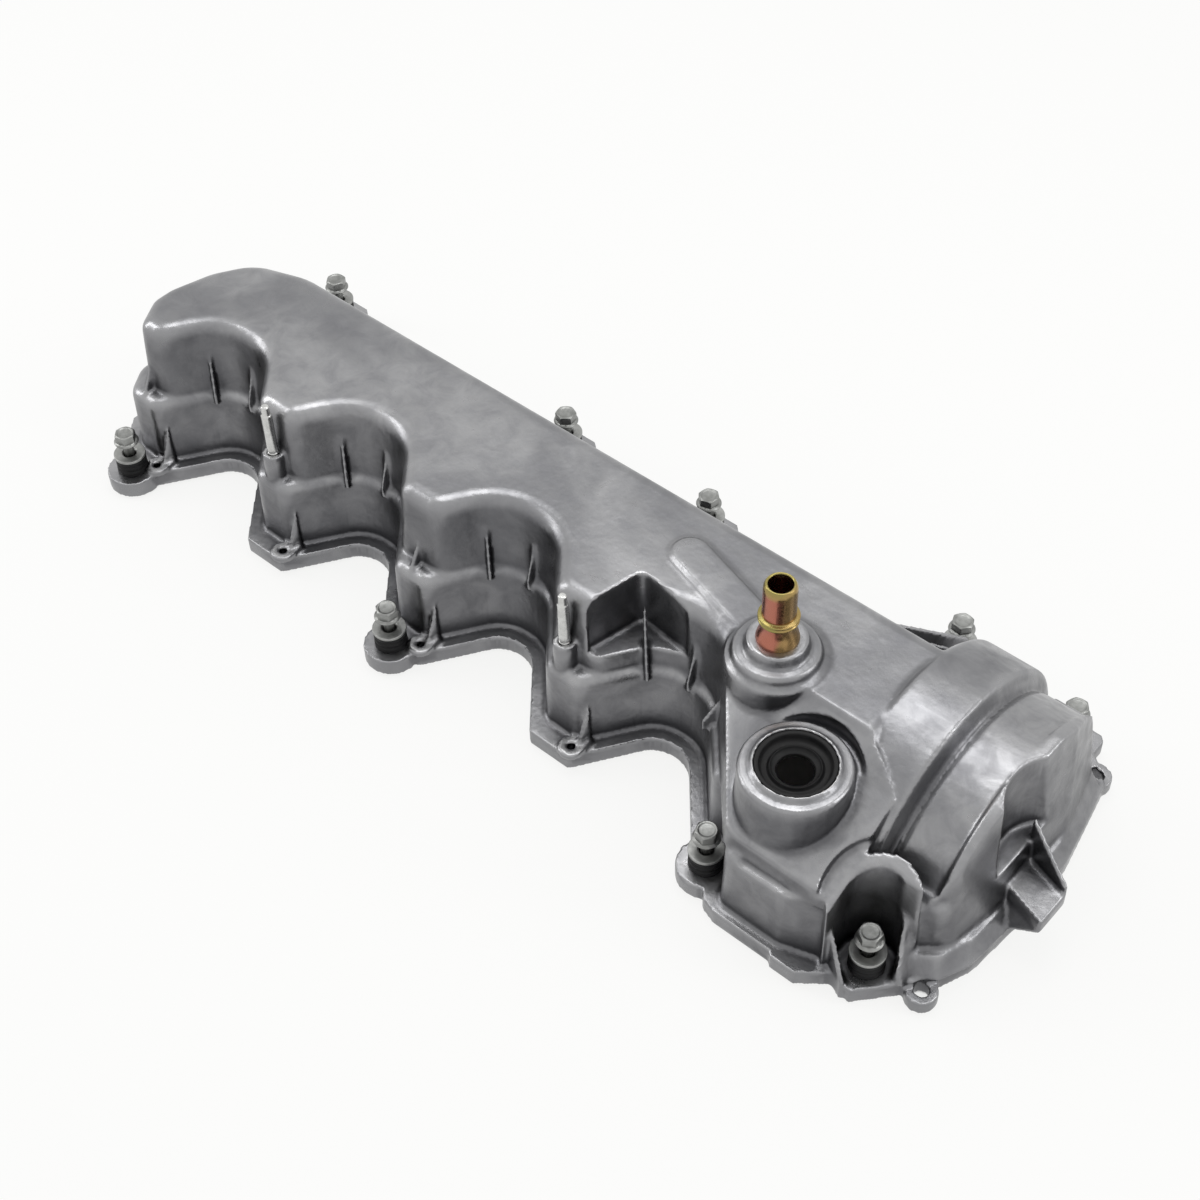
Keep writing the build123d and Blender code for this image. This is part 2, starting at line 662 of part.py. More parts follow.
with BuildPart() as cover:
    add(lower_body)
    add(upper_body)
    add(drum)
    with BuildSketch(level(FLANGE_TOP)):
        with Locations((POCKET_X, POCKET_Y)):
            Circle(POCKET_R + TOWER_WALL)
    extrude(amount=TOWER_ROOF - FLANGE_TOP)
    add(slope, mode=Mode.SUBTRACT)
    add(pocket_step, mode=Mode.SUBTRACT)
    add(fall, mode=Mode.SUBTRACT)

    # Port recess, then its collar
    with BuildSketch(level(PORT_FLOOR)):
        with Locations((PORT_X, PORT_Y)):
            Circle(PORT_POCKET_R)
    extrude(amount=ROOF, mode=Mode.SUBTRACT)
    add(collar)
    add(vent_boss)
    add(tongue)

    # Front of the timing housing with the scoop over the bracket
    add(nose)
    add(apron_body)
    with BuildSketch(level(SCOOP_FLOOR)):
        with Locations((SCOOP_X, SCOOP_Y)):
            Circle(SCOOP_R)
    extrude(amount=ROOF, mode=Mode.SUBTRACT)
    add(shelf_body)

    # Recess in the last bay
    with BuildSketch(level(RECESS_FLOOR)):
        add(face_of(RECESS))
    extrude(amount=ROOF, mode=Mode.SUBTRACT)

    # Posts of the harness studs
    with BuildSketch(level(LEDGE_LIP - 2)):
        with Locations((STUD_X, STUD_Y), (STUD_X + STUD_SPACING, STUD_Y)):
            Circle(POST_BASE_R)
    extrude(amount=POST_TOP - LEDGE_LIP + 2)

    # Thin ribs and webs, kept out of the room inside
    for rib in ribs + fins + gussets + foot_fins:
        add(rib)

    # Flange, pads, ears and coil bosses
    with BuildSketch(level(UNDERSIDE)):
        add(flange_outline())
        add(pads)
        with Locations(*NEAR_BOLTS[:3]):
            Circle(PAD_R)
    extrude(amount=FLANGE_TOP - UNDERSIDE)
    with BuildSketch(level(UNDERSIDE)):
        with Locations(FAR_EAR, NEAR_EAR):
            Circle(EAR_R)
    extrude(amount=EAR_TOP - UNDERSIDE)
    with BuildSketch(level(FLANGE_TOP - 1)):
        add(bosses)
    extrude(amount=BOSS_TOP - FLANGE_TOP + 1)

    # Pocket of the front bolt, open toward the near side
    with BuildSketch(level(FLANGE_TOP)):
        with Locations((POCKET_X, POCKET_Y)):
            Circle(POCKET_R)
            Rectangle(2 * POCKET_R, 60, align=(Align.CENTER, Align.MAX))
            Rectangle(60, 60, align=(Align.MIN, Align.MAX))
    extrude(amount=ROOF, mode=Mode.SUBTRACT)
    for rib in pocket_webs:
        add(rib)

    # Clear way down to the far ear
    with BuildSketch(level(FLANGE_TOP)):
        with Locations(FAR_EAR):
            Circle(EAR_CLEAR_R)
    extrude(amount=ROOF, mode=Mode.SUBTRACT)

    # Room inside
    add(inside, mode=Mode.SUBTRACT)

    # Clearance for rubber and sleeves, screw holes, stud holes, ear holes
    with BuildSketch(level(0)):
        with Locations(*BOLTS):
            Circle(PAD_HOLE_R)
        with Locations(FAR_EAR, NEAR_EAR):
            Circle(EAR_HOLE_R)
    extrude(amount=FLANGE_TOP + 1, mode=Mode.SUBTRACT)
    with BuildSketch(level(BOSS_TOP - BOSS_HOLE_DEPTH)):
        for bay in range(BAYS):
            with Locations((BOSS_X + BORE_PITCH * bay, BOSS_Y)):
                Circle(BOSS_HOLE_R)
    extrude(amount=BOSS_HOLE_DEPTH + 1, mode=Mode.SUBTRACT)
    with BuildSketch(level(POST_TOP - STUD_HOLE_DEPTH)):
        with Locations((STUD_X, STUD_Y), (STUD_X + STUD_SPACING, STUD_Y)):
            Circle(STUD_R + FIT_PLAY)
    extrude(amount=STUD_HOLE_DEPTH + 1, mode=Mode.SUBTRACT)

    # Bores of the port and the vent
    with BuildSketch(level(LEDGE_LIP - 2)):
        with Locations((PORT_X, PORT_Y)):
            Circle(PORT_BORE_R)
    extrude(amount=ROOF, mode=Mode.SUBTRACT)
    with BuildSketch(level(ROOF - 20)):
        with Locations((VENT_X, VENT_Y)):
            Circle(VENT_R + FIT_PLAY)
    extrude(amount=40, mode=Mode.SUBTRACT)

    # Gasket groove
    add(groove, mode=Mode.SUBTRACT)

    # Shallow slot on the near front wall
    with BuildSketch(spot(SLOT_X, SKIRT_Y - SLOT_REACH / 2, SLOT_Z)):
        SlotCenterToCenter(SLOT_LENGTH, SLOT_WIDTH, rotation=SLOT_TILT)
    extrude(amount=-SLOT_REACH, mode=Mode.SUBTRACT)

cover.part.label = "cover_casting"
export_step(cover.part, "parts/cover_casting.step")

with BuildPart() as gasket:
    add(gasket_ring(0))
gasket.part.label = "gasket"
export_step(gasket.part, "parts/gasket.step")

with BuildPart() as vent_tube:
    with BuildSketch(spot(VENT_X, VENT_Y, 0)):
        with BuildLine():
            Polyline(
                (VENT_R - VENT_WALL, VENT_FOOT),
                (VENT_R, VENT_FOOT),
                (VENT_R, VENT_SEAT_TOP),
                (VENT_FLARE_R, VENT_SEAT_TOP),
                (VENT_FLARE_R, VENT_SEAT_TOP + 1.2),
                (VENT_R, VENT_FLARE_TOP),
                (VENT_R, VENT_BEAD_Z - VENT_BEAD_H / 2),
                (VENT_BEAD_R, VENT_BEAD_Z - VENT_BEAD_H / 4),
                (VENT_BEAD_R, VENT_BEAD_Z + VENT_BEAD_H / 4),
                (VENT_R, VENT_BEAD_Z + VENT_BEAD_H / 2),
                (VENT_R, VENT_TOP - 2 * VENT_SWAGE),
                (VENT_R - VENT_SWAGE, VENT_TOP),
                (VENT_R - VENT_SWAGE - VENT_WALL, VENT_TOP),
                (VENT_R - VENT_WALL, VENT_TOP - 2 * VENT_SWAGE),
                close=True,
            )
        make_face()
    revolve(axis=Axis((VENT_X - MID_X, VENT_Y - MID_Y, 0), (0, 0, 1)))
vent_tube.part.label = "vent_tube"
export_step(vent_tube.part, "parts/vent_tube.step")

with BuildPart() as port_seal:
    with BuildSketch(spot(PORT_X, PORT_Y, 0)):
        with BuildLine():
            Polyline(
                (PORT_BORE_R - RUBBER_PLAY, COLLAR_TOP - SEAL_DEPTH),
                (PORT_BORE_R - RUBBER_PLAY, COLLAR_TOP - 0.5),
                (PORT_BORE_R - 2.5, COLLAR_TOP - 0.5),
                (PORT_BORE_R - 3.5, COLLAR_TOP - 3.5),
                (SEAL_LIP_R + 0.6, COLLAR_TOP - 3.5),
                (SEAL_LIP_R, COLLAR_TOP - 2.6),
                (SEAL_LIP_R - 0.8, COLLAR_TOP - 3.5),
                (SEAL_HOLE_R, COLLAR_TOP - 5),
                (SEAL_HOLE_R, COLLAR_TOP - 7),
                (PORT_BORE_R - 3, COLLAR_TOP - 6),
                (PORT_BORE_R - 3, COLLAR_TOP - SEAL_DEPTH),
                close=True,
            )
        make_face()
    revolve(axis=Axis((PORT_X - MID_X, PORT_Y - MID_Y, 0), (0, 0, 1)))
port_seal.part.label = "port_seal"
export_step(port_seal.part, "parts/port_seal.step")

for number in (1, 2):
    x = STUD_X + STUD_SPACING * (number - 1)
    with BuildPart() as stud:
        with BuildSketch(spot(x, STUD_Y, 0)):
            with BuildLine():
                Polyline(
                    (0, POST_TOP - STUD_HOLE_DEPTH + 1),
                    (STUD_R, POST_TOP - STUD_HOLE_DEPTH + 1),
                    (STUD_R, STUD_TOP - STUD_TIP - 1),
                    (STUD_NECK_R, STUD_TOP - STUD_TIP),
                    (STUD_NECK_R, STUD_TOP - 0.6),
                    (STUD_NECK_R - 0.6, STUD_TOP),
                    (0, STUD_TOP),
                    close=True,
                )
            make_face()
        revolve(axis=Axis((x - MID_X, STUD_Y - MID_Y, 0), (0, 0, 1)))
    stud.part.label = f"harness_stud_{number}"
    export_step(stud.part, f"parts/harness_stud_{number}.step")

for number, (x, y) in enumerate(BOLTS, start=1):
    with BuildPart() as bolt:
        with BuildSketch(spot(x, y, 0)):
            with BuildLine():
                Polyline(
                    (0, 0),
                    (BOLT_R - BOLT_TIP, 0),
                    (BOLT_R, BOLT_TIP),
                    (BOLT_R, HEAD_SEAT),
                    (HEAD_FLANGE_R, HEAD_SEAT),
                    (HEAD_FLANGE_R, HEAD_SEAT + HEAD_FLANGE_T / 2),
                    (HEAD_AF / 2, HEAD_SEAT + HEAD_FLANGE_T),
                    (0, HEAD_SEAT + HEAD_FLANGE_T),
                    close=True,
                )
            make_face()
        revolve(axis=Axis((x - MID_X, y - MID_Y, 0), (0, 0, 1)))
        with BuildSketch(level(HEAD_SEAT + HEAD_FLANGE_T / 2)):
            with Locations((x, y)):
                RegularPolygon(HEAD_AF / 2, 6, major_radius=False)
        extrude(amount=HEAD_HEIGHT)
        chamfer(bolt.faces().sort_by(Axis.Z)[-1].edges(), 0.5)
    bolt.part.label = f"bolt_{number}"
    export_step(bolt.part, f"parts/bolt_{number}.step")

    with BuildPart() as sleeve:
        with BuildSketch(spot(x, y, 0)):
            with BuildLine():
                Polyline(
                    (SLEEVE_BORE_R, UNDERSIDE),
                    (SLEEVE_R, UNDERSIDE),
                    (SLEEVE_R, WASHER_SEAT),
                    (WASHER_R, WASHER_SEAT),
                    (WASHER_R, WASHER_SEAT + WASHER_T),
                    (SLEEVE_BORE_R, WASHER_SEAT + WASHER_T),
                    close=True,
                )
            make_face()
        revolve(axis=Axis((x - MID_X, y - MID_Y, 0), (0, 0, 1)))
    sleeve.part.label = f"sleeve_{number}"
    export_step(sleeve.part, f"parts/sleeve_{number}.step")

    with BuildPart() as grommet:
        with BuildSketch(spot(x, y, 0)):
            with BuildLine():
                Polyline(
                    (SLEEVE_R + RUBBER_PLAY, UNDERSIDE + 0.2),
                    (GROMMET_NECK_R, UNDERSIDE + 0.2),
                    (GROMMET_NECK_R, FLANGE_TOP + RUBBER_PLAY),
                    (GROMMET_R, FLANGE_TOP + RUBBER_PLAY),
                    (GROMMET_R, FLANGE_TOP + GROMMET_HEIGHT * 0.3),
                    (GROMMET_R - 1, FLANGE_TOP + GROMMET_HEIGHT * 0.45),
                    (GROMMET_R - 1, FLANGE_TOP + GROMMET_HEIGHT * 0.6),
                    (GROMMET_R, FLANGE_TOP + GROMMET_HEIGHT * 0.75),
                    (GROMMET_R - 0.4, WASHER_SEAT - RUBBER_PLAY),
                    (SLEEVE_R + RUBBER_PLAY, WASHER_SEAT - RUBBER_PLAY),
                    close=True,
                )
            make_face()
        revolve(axis=Axis((x - MID_X, y - MID_Y, 0), (0, 0, 1)))
    grommet.part.label = f"grommet_{number}"
    export_step(grommet.part, f"parts/grommet_{number}.step")
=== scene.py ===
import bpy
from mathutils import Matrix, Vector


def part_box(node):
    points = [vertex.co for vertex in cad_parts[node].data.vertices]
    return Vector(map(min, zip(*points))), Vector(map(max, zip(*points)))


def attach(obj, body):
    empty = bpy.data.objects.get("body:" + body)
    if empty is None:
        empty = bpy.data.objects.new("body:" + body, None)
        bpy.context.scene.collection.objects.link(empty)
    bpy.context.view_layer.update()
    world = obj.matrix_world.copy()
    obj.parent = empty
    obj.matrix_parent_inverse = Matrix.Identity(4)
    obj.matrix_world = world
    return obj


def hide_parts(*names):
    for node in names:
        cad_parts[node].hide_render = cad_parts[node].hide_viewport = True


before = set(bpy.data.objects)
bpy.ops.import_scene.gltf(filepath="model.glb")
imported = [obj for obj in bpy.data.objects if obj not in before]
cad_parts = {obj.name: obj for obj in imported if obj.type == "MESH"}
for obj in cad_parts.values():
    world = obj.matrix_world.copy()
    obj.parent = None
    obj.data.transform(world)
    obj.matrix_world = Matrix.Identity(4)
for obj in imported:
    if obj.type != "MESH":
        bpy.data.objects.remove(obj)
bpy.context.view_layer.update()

import bpy
import numpy as np
from mathutils import Matrix

bl_info = {
    "name": "Valve Cover Dressing",
    "version": (1, 0, 0),
    "blender": (4, 5, 0),
    "location": "3D View > Sidebar > Valve Cover",
    "description": "Dresses the cast valve cover and its fixings around the packed frame",
    "category": "Object",
}

MM = 0.001
COVER = "cover"
BOLT_COUNT = 9
STUD_COUNT = 2
UP = np.array([0.0, 0.0, 1.0])

# Heights above the resting plane and plan places of the faces that were machined after casting
MACHINED_BANDS = ((12.5, 0.35), (89.0, 0.35), (65.0, 0.35))
BOSS_FIRST = (-243.05, -74.5)
BOSS_PITCH = 100.0
VENT_CENTRE = (136.25, -24.0)
PORT_CENTRE = (177.55, -63.7)

# Half length and half width of the floor that the cover shuts in
SHUT_IN = (0.23, 0.035)


def collection():
    """The scene's own collection, where every new object goes."""
    return bpy.context.scene.collection


def node_middle(name):
    """Plan centre and heights of a CAD node: x, y, lowest z, highest z."""
    low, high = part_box(name)
    return (low.x + high.x) / 2, (low.y + high.y) / 2, low.z, high.z


# Meshes from numpy arrays

def mesh_of(name, points, faces):
    """A mesh from an array of points and a list of face arrays."""
    mesh = bpy.data.meshes.new(name)
    mesh.from_pydata(points, [], [face for group in faces for face in group.tolist()])
    mesh.validate()
    mesh.update()
    return mesh


def placed(name, mesh, material, body, sharp=40):
    """An object at the origin with its finish and its body; edges over sharp degrees stay crisp."""
    thing = bpy.data.objects.new(name, mesh)
    collection().objects.link(thing)
    mesh.materials.clear()
    mesh.materials.append(material)
    mesh.shade_smooth()
    if sharp:
        mesh.set_sharp_from_angle(angle=np.radians(sharp))
    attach(thing, body)
    return thing


def eased(corners, ease, closed, steps=5):
    """A profile with its corners rounded: near corner P the path is the parabola that leaves the line
    before P at a distance ease, runs toward P and meets the line after P at the same distance."""
    corner = np.asarray(corners, float)
    ease = np.asarray(ease, float)
    before = np.roll(corner, 1, 0) - corner
    after = np.roll(corner, -1, 0) - corner
    if not closed:
        before[0] = 0
        after[-1] = 0
    reach_before = np.linalg.norm(before, axis=1)
    reach_after = np.linalg.norm(after, axis=1)
    ease = np.minimum(ease, 0.48 * np.minimum(
        np.where(reach_before > 0, reach_before, np.inf), np.where(reach_after > 0, reach_after, np.inf)))
    start = corner + before * (ease / np.maximum(reach_before, 1e-12))[:, None]
    end = corner + after * (ease / np.maximum(reach_after, 1e-12))[:, None]
    share = np.linspace(0, 1, steps)[None, :, None]
    path = (1 - share) ** 2 * start[:, None] + 2 * share * (1 - share) * corner[:, None] + share ** 2 * end[:, None]
    path = path.reshape(-1, corner.shape[1])
    step = np.linalg.norm(np.diff(path, axis=0), axis=1)
    return path[np.concatenate([[True], step > 1e-9])]


def wheel_faces(rows, columns, ring):
    """Quads of a grid that closes round its columns, and round its rows too where ring is true.
    Where it isn't, the two extra points after the grid close its first and last row."""
    row = np.arange(rows if ring else rows - 1)[:, None]
    column = np.arange(columns)[None, :]
    after = (column + 1) % columns
    above = (row + 1) % rows
    quads = np.stack([row * columns + column, row * columns + after, above * columns + after,
                      above * columns + column], axis=-1).reshape(-1, 4)
    if ring:
        return [quads]
    column = np.arange(columns)
    after = (column + 1) % columns
    foot = np.stack([np.full(columns, rows * columns), after, column], axis=-1)
    last = (rows - 1) * columns
    crown = np.stack([np.full(columns, rows * columns + 1), last + column, last + after], axis=-1)
    return [quads, foot, crown]


def turned(name, profile, centre, columns, ring, swell=None):
    """A profile carried round an upright axis: x = cx + r cos a, y = cy + r sin a, z as the profile has it,
    for even steps of the angle a. swell(r, z, a) changes the radii. Lengths in millimetres."""
    profile = np.asarray(profile, float)
    angle = np.linspace(0, 2 * np.pi, columns, endpoint=False)[None, :]
    radius = profile[:, :1] + 0 * angle
    height = profile[:, 1:] + 0 * angle
    if swell:
        radius, height = swell(radius, height, angle)
    x = centre[0] + MM * radius * np.cos(angle)
    y = centre[1] + MM * radius * np.sin(angle)
    points = np.stack([x, y, MM * height], axis=-1).reshape(-1, 3)
    if not ring:
        ends = [[centre[0], centre[1], MM * height[0].mean()], [centre[0], centre[1], MM * height[-1].mean()]]
        points = np.vstack([points, ends])
    return mesh_of(name, points, wheel_faces(len(profile), columns, ring))


# Softening of the cast shell

def merged_copy(node):
    """Points and triangles of a CAD node with the points that fall together made one."""
    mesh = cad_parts[node].data
    points = np.empty(len(mesh.vertices) * 3, np.float32)
    mesh.vertices.foreach_get("co", points)
    mesh.calc_loop_triangles()
    triangles = np.empty(len(mesh.loop_triangles) * 3, np.int32)
    mesh.loop_triangles.foreach_get("vertices", triangles)
    points = points.reshape(-1, 3)
    unique, index = np.unique(np.round(points / 1e-6).astype(np.int64), axis=0, return_inverse=True)
    triangles = index.ravel()[triangles].reshape(-1, 3)
    whole = (triangles[:, 0] != triangles[:, 1]) & (triangles[:, 1] != triangles[:, 2])
    whole &= triangles[:, 0] != triangles[:, 2]
    return unique * 1e-6, triangles[whole]


def evaluated(thing, name):
    """The mesh that a thing has once its modifiers are taken, as a mesh of its own."""
    graph = bpy.context.evaluated_depsgraph_get()
    mesh = bpy.data.meshes.new_from_object(thing.evaluated_get(graph))
    mesh.name = name
    return mesh


def corner_normals(points, quads):
    """Point normals: the sum of the crossed diagonals of the faces round each point, made unit length."""
    across = np.cross(points[quads[:, 2]] - points[quads[:, 0]], points[quads[:, 3]] - points[quads[:, 1]])
    total = np.zeros_like(points)
    for corner in range(4):
        for axis in range(3):
            total[:, axis] += np.bincount(quads[:, corner], across[:, axis], len(points))
    return total / np.maximum(np.linalg.norm(total, axis=1), 1e-20)[:, None]


def neighbour_mean(points, edges, degree):
    """Mean of the points at the far ends of each point's edges."""
    total = np.empty_like(points)
    for axis in range(3):
        total[:, axis] = np.bincount(edges[:, 0], points[edges[:, 1], axis], len(points))
        total[:, axis] += np.bincount(edges[:, 1], points[edges[:, 0], axis], len(points))
    return total / degree[:, None]


def softened(points, quads, edges, fillet, crest, passes):
    """Each pass moves a point part of the way to the mean of its neighbours: the share is fillet where
    the surface is hollow there, and crest where it stands proud."""
    degree = np.maximum(np.bincount(edges.ravel(), minlength=len(points)), 1)
    for _ in range(passes):
        step = neighbour_mean(points, edges, degree) - points
        proud = np.einsum("ij,ij->i", step, corner_normals(points, quads)) < 0
        points = points + step * np.where(proud, crest, fillet)[:, None]
    return points


def ramp(value, start, end):
    """0 up to start, 1 from end, and a smooth step between."""
    share = np.clip((value - start) / (end - start), 0, 1)
    return share * share * (3 - 2 * share)


def near_axis(points, x, y, reach):
    """1 within reach of an upright axis, falling to 0 a third of the reach further out, in millimetres."""
    gap = np.hypot(points[:, 0] / MM - x, points[:, 1] / MM - y)
    return 1 - ramp(gap, reach, reach * 1.33)


def crisp_places(points):
    """Where holes and seats stay true: 1 at bores, pads and screw bosses."""
    mask = np.zeros(len(points))
    for bay in range(4):
        mask = np.maximum(mask, near_axis(points, BOSS_FIRST[0] + bay * BOSS_PITCH, BOSS_FIRST[1], 7.0))
    mask = np.maximum(mask, near_axis(points, *VENT_CENTRE, 14.0) * ramp(points[:, 2] / MM, 97, 100))
    port = near_axis(points, *PORT_CENTRE, 19.0) * ramp(points[:, 2] / MM, 70, 74)
    mask = np.maximum(mask, port)
    for number in range(1, BOLT_COUNT + 1):
        x, y, low, high = node_middle(f"bolt_{number}")
        pad = near_axis(points, x / MM, y / MM, 8.0) * (1 - ramp(points[:, 2] / MM, 10.5, 12))
        mask = np.maximum(mask, pad)
    for number in range(1, STUD_COUNT + 1):
        x, y, low, high = node_middle(f"harness_stud_{number}")
        mask = np.maximum(mask, near_axis(points, x / MM, y / MM, 3.5) * ramp(points[:, 2] / MM, 50, 54))
    return mask


def mesh_arrays(mesh):
    """Points, quads and edges of an all-quad mesh."""
    points = np.empty(len(mesh.vertices) * 3)
    mesh.vertices.foreach_get("co", points)
    quads = np.empty(len(mesh.loops), np.int32)
    mesh.loops.foreach_get("vertex_index", quads)
    edges = np.empty(len(mesh.edges) * 2, np.int32)
    mesh.edges.foreach_get("vertices", edges)
    return points.reshape(-1, 3), quads.reshape(-1, 4), edges.reshape(-1, 2)


def keep_relief(mesh, points, quads, edges):
    """Stores how deep each point lies in a hollow (above 0.5) or stands on a crest (below 0.5): the
    distance from the point to the same surface after many plain passes, along its normal."""
    degree = np.maximum(np.bincount(edges.ravel(), minlength=len(points)), 1)
    broad = points
    for _ in range(60):
        broad = broad + 0.8 * (neighbour_mean(broad, edges, degree) - broad)
    depth = np.einsum("ij,ij->i", broad - points, corner_normals(points, quads)) / MM
    relief = mesh.attributes.new("relief", "FLOAT", "POINT")
    relief.data.foreach_set("value", (0.5 + 0.5 * np.clip(depth / 1.6, -1, 1)).astype(np.float32))


def flatten_light(mesh):
    """Gives each point the mean normal of the faces round it, weighted by their areas: the sum of their
    crossed sides. Wide flat faces then look flat up to their rounded edges."""
    points = np.empty(len(mesh.vertices) * 3)
    mesh.vertices.foreach_get("co", points)
    points = points.reshape(-1, 3)
    mesh.calc_loop_triangles()
    corners = np.empty(len(mesh.loop_triangles) * 3, np.int32)
    mesh.loop_triangles.foreach_get("vertices", corners)
    corners = corners.reshape(-1, 3)
    first, second, third = (points[corners[:, column]] for column in range(3))
    across = np.cross(second - first, third - first)
    total = np.zeros_like(points)
    for column in range(3):
        for axis in range(3):
            total[:, axis] += np.bincount(corners[:, column], across[:, axis], len(points))
    total /= np.maximum(np.linalg.norm(total, axis=1), 1e-20)[:, None]
    mesh.normals_split_custom_set_from_vertices(total.tolist())


# Finishes

class Finish:
    """A material and short ways to add and join its nodes."""

    def __init__(self, name):
        self.material = bpy.data.materials.new(name)
        self.material.use_nodes = True
        self.tree = self.material.node_tree
        self.shader = self.tree.nodes["Principled BSDF"]
        self.place = self.add("ShaderNodeTexCoord").outputs["Object"]

    def add(self, kind, **settings):
        """A node with its settings made."""
        made = self.tree.nodes.new(kind)
        for key, value in settings.items():
            setattr(made, key, value)
        return made

    def put(self, socket, value):
        """A link where value is another socket, and a plain value elsewhere."""
        if isinstance(value, bpy.types.NodeSocket):
            self.tree.links.new(value, socket)
        else:
            socket.default_value = value

    def surface(self, **values):
        """Inputs of the surface shader, spaces in their names written as underscores."""
        for key, value in values.items():
            self.put(self.shader.inputs[key.replace("_", " ")], value)

    def noise(self, scale, detail=4.0, rough=0.55, place=None, distortion=0.0):
        """Cloudy noise with features about 1/scale metres across."""
        made = self.add("ShaderNodeTexNoise")
        self.put(made.inputs["Vector"], place or self.place)
        self.put(made.inputs["Scale"], scale)
        self.put(made.inputs["Detail"], detail)
        self.put(made.inputs["Roughness"], rough)
        self.put(made.inputs["Distortion"], distortion)
        return made.outputs["Fac"]

    def span(self, value, low, high, to_low, to_high, smooth=False):
        """value carried from the range low..high to another range, and held at its ends."""
        made = self.add("ShaderNodeMapRange", interpolation_type="SMOOTHSTEP" if smooth else "LINEAR")
        for key, number in zip(("Value", "From Min", "From Max", "To Min", "To Max"),
                               (value, low, high, to_low, to_high)):
            self.put(made.inputs[key], number)
        return made.outputs["Result"]

    def blend(self, share, first, second, way="MIX"):
        """Colour first at share 0 and second at share 1."""
        made = self.add("ShaderNodeMix", data_type="RGBA", blend_type=way)
        self.put(made.inputs["Factor"], share)
        self.put(made.inputs["A"], first)
        self.put(made.inputs["B"], second)
        return made.outputs["Result"]

    def sum_up(self, way, first, second, clamp=False):
        """One step of arithmetic."""
        made = self.add("ShaderNodeMath", operation=way, use_clamp=clamp)
        self.put(made.inputs[0], first)
        self.put(made.inputs[1], second)
        return made.outputs["Value"]

    def stretched(self, scales):
        """Object coordinates scaled along each axis."""
        made = self.add("ShaderNodeMapping")
        self.put(made.inputs["Vector"], self.place)
        made.inputs["Scale"].default_value = scales
        return made.outputs["Vector"]

    def bump(self, height, depth, strength=1.0, under=None):
        """A bump of a depth in metres, over another bump where one is given."""
        made = self.add("ShaderNodeBump")
        self.put(made.inputs["Height"], height)
        self.put(made.inputs["Distance"], depth)
        self.put(made.inputs["Strength"], strength)
        if under is not None:
            self.put(made.inputs["Normal"], under)
        return made.outputs["Normal"]


def cast_finish(settings):
    """Bare die-cast aluminium: clouded grey, with painted shade in its hollows and on its steep faces, and rub wear
    with a painted highlight on its crests.
    """
    finish = Finish("cast_aluminium")
    broad = finish.noise(14, 3, 0.55, distortion=0.6)
    cloud = finish.noise(70, 6, 0.62, distortion=0.5)
    streak = finish.noise(150, 4, 0.6, finish.stretched((0.5, 1, 1)))
    grain = finish.noise(1500, 3, 0.7)
    relief = finish.add("ShaderNodeAttribute", attribute_name="relief").outputs["Fac"]
    tone = finish.blend(finish.span(broad, 0.38, 0.62, 0, 1, True), settings.tone_dark, settings.tone_light)
    tone = finish.blend(finish.span(cloud, 0.38, 0.66, 0, 0.5), tone, (0.13, 0.131, 0.142, 1))
    tone = finish.blend(finish.span(streak, 0.42, 0.7, 0, 0.1), tone, (0.33, 0.328, 0.325, 1))
    facing = finish.add("ShaderNodeSeparateXYZ")
    finish.put(facing.inputs[0], finish.add("ShaderNodeNewGeometry").outputs["Normal"])
    # Painted shade: the steeper a face, the more it is darkened toward near black, as walls that catch little light
    # look.
    steep = finish.span(facing.outputs["Z"], 0.75, 0.05, 0, settings.steep_shade, True)
    tone = finish.blend(steep, tone, (0.07, 0.07, 0.076, 1))
    # Painted shade: points deep in hollows (relief above 0.55) are darkened toward near black, as corners and bays in
    # shade look.
    hollow = finish.span(relief, 0.55, 0.95, 0, settings.hollow_shade, True)
    tone = finish.blend(hollow, tone, (0.05, 0.05, 0.056, 1))
    # Rub wear and painted highlight: points on crests (relief below 0.4) are lightened, for worn edges and for the
    # highlights that rounded edges catch.
    crest = finish.span(relief, 0.4, 0.1, 0, settings.rub_and_highlight, True)
    tone = finish.blend(crest, tone, (0.40, 0.40, 0.41, 1))
    machined = machined_mask(finish)
    tone = finish.blend(machined, tone, (0.44, 0.44, 0.445, 1))
    rough = finish.span(cloud, 0.3, 0.7, settings.roughness - 0.08, settings.roughness + 0.1)
    rough = finish.sum_up("SUBTRACT", rough, finish.sum_up("MULTIPLY", crest, 0.08))
    waves = finish.bump(finish.noise(48, 3, 0.5), 0.0009, 0.6)
    pits = finish.bump(finish.noise(380, 5, 0.65), 0.00014, 0.7, waves)
    fine = finish.bump(grain, 0.00003, 0.5, pits)
    finish.surface(Base_Color=tone, Metallic=1.0, Roughness=rough, Normal=fine)
    return finish.material


def machined_mask(finish):
    """1 on level faces at the heights where a cutter has passed."""
    height = finish.add("ShaderNodeSeparateXYZ")
    finish.put(height.inputs[0], finish.place)
    facing = finish.add("ShaderNodeSeparateXYZ")
    finish.put(facing.inputs[0], finish.add("ShaderNodeNewGeometry").outputs["Normal"])
    level = finish.span(facing.outputs["Z"], 0.97, 0.995, 0, 1)
    total = None
    for middle, half in MACHINED_BANDS:
        gap = finish.add("ShaderNodeMath", operation="COMPARE")
        finish.put(gap.inputs[0], height.outputs["Z"])
        finish.put(gap.inputs[1], middle * MM)
        finish.put(gap.inputs[2], half * MM)
        total = gap.outputs[0] if total is None else finish.sum_up("MAXIMUM", total, gap.outputs[0])
    return finish.sum_up("MULTIPLY", total, level)


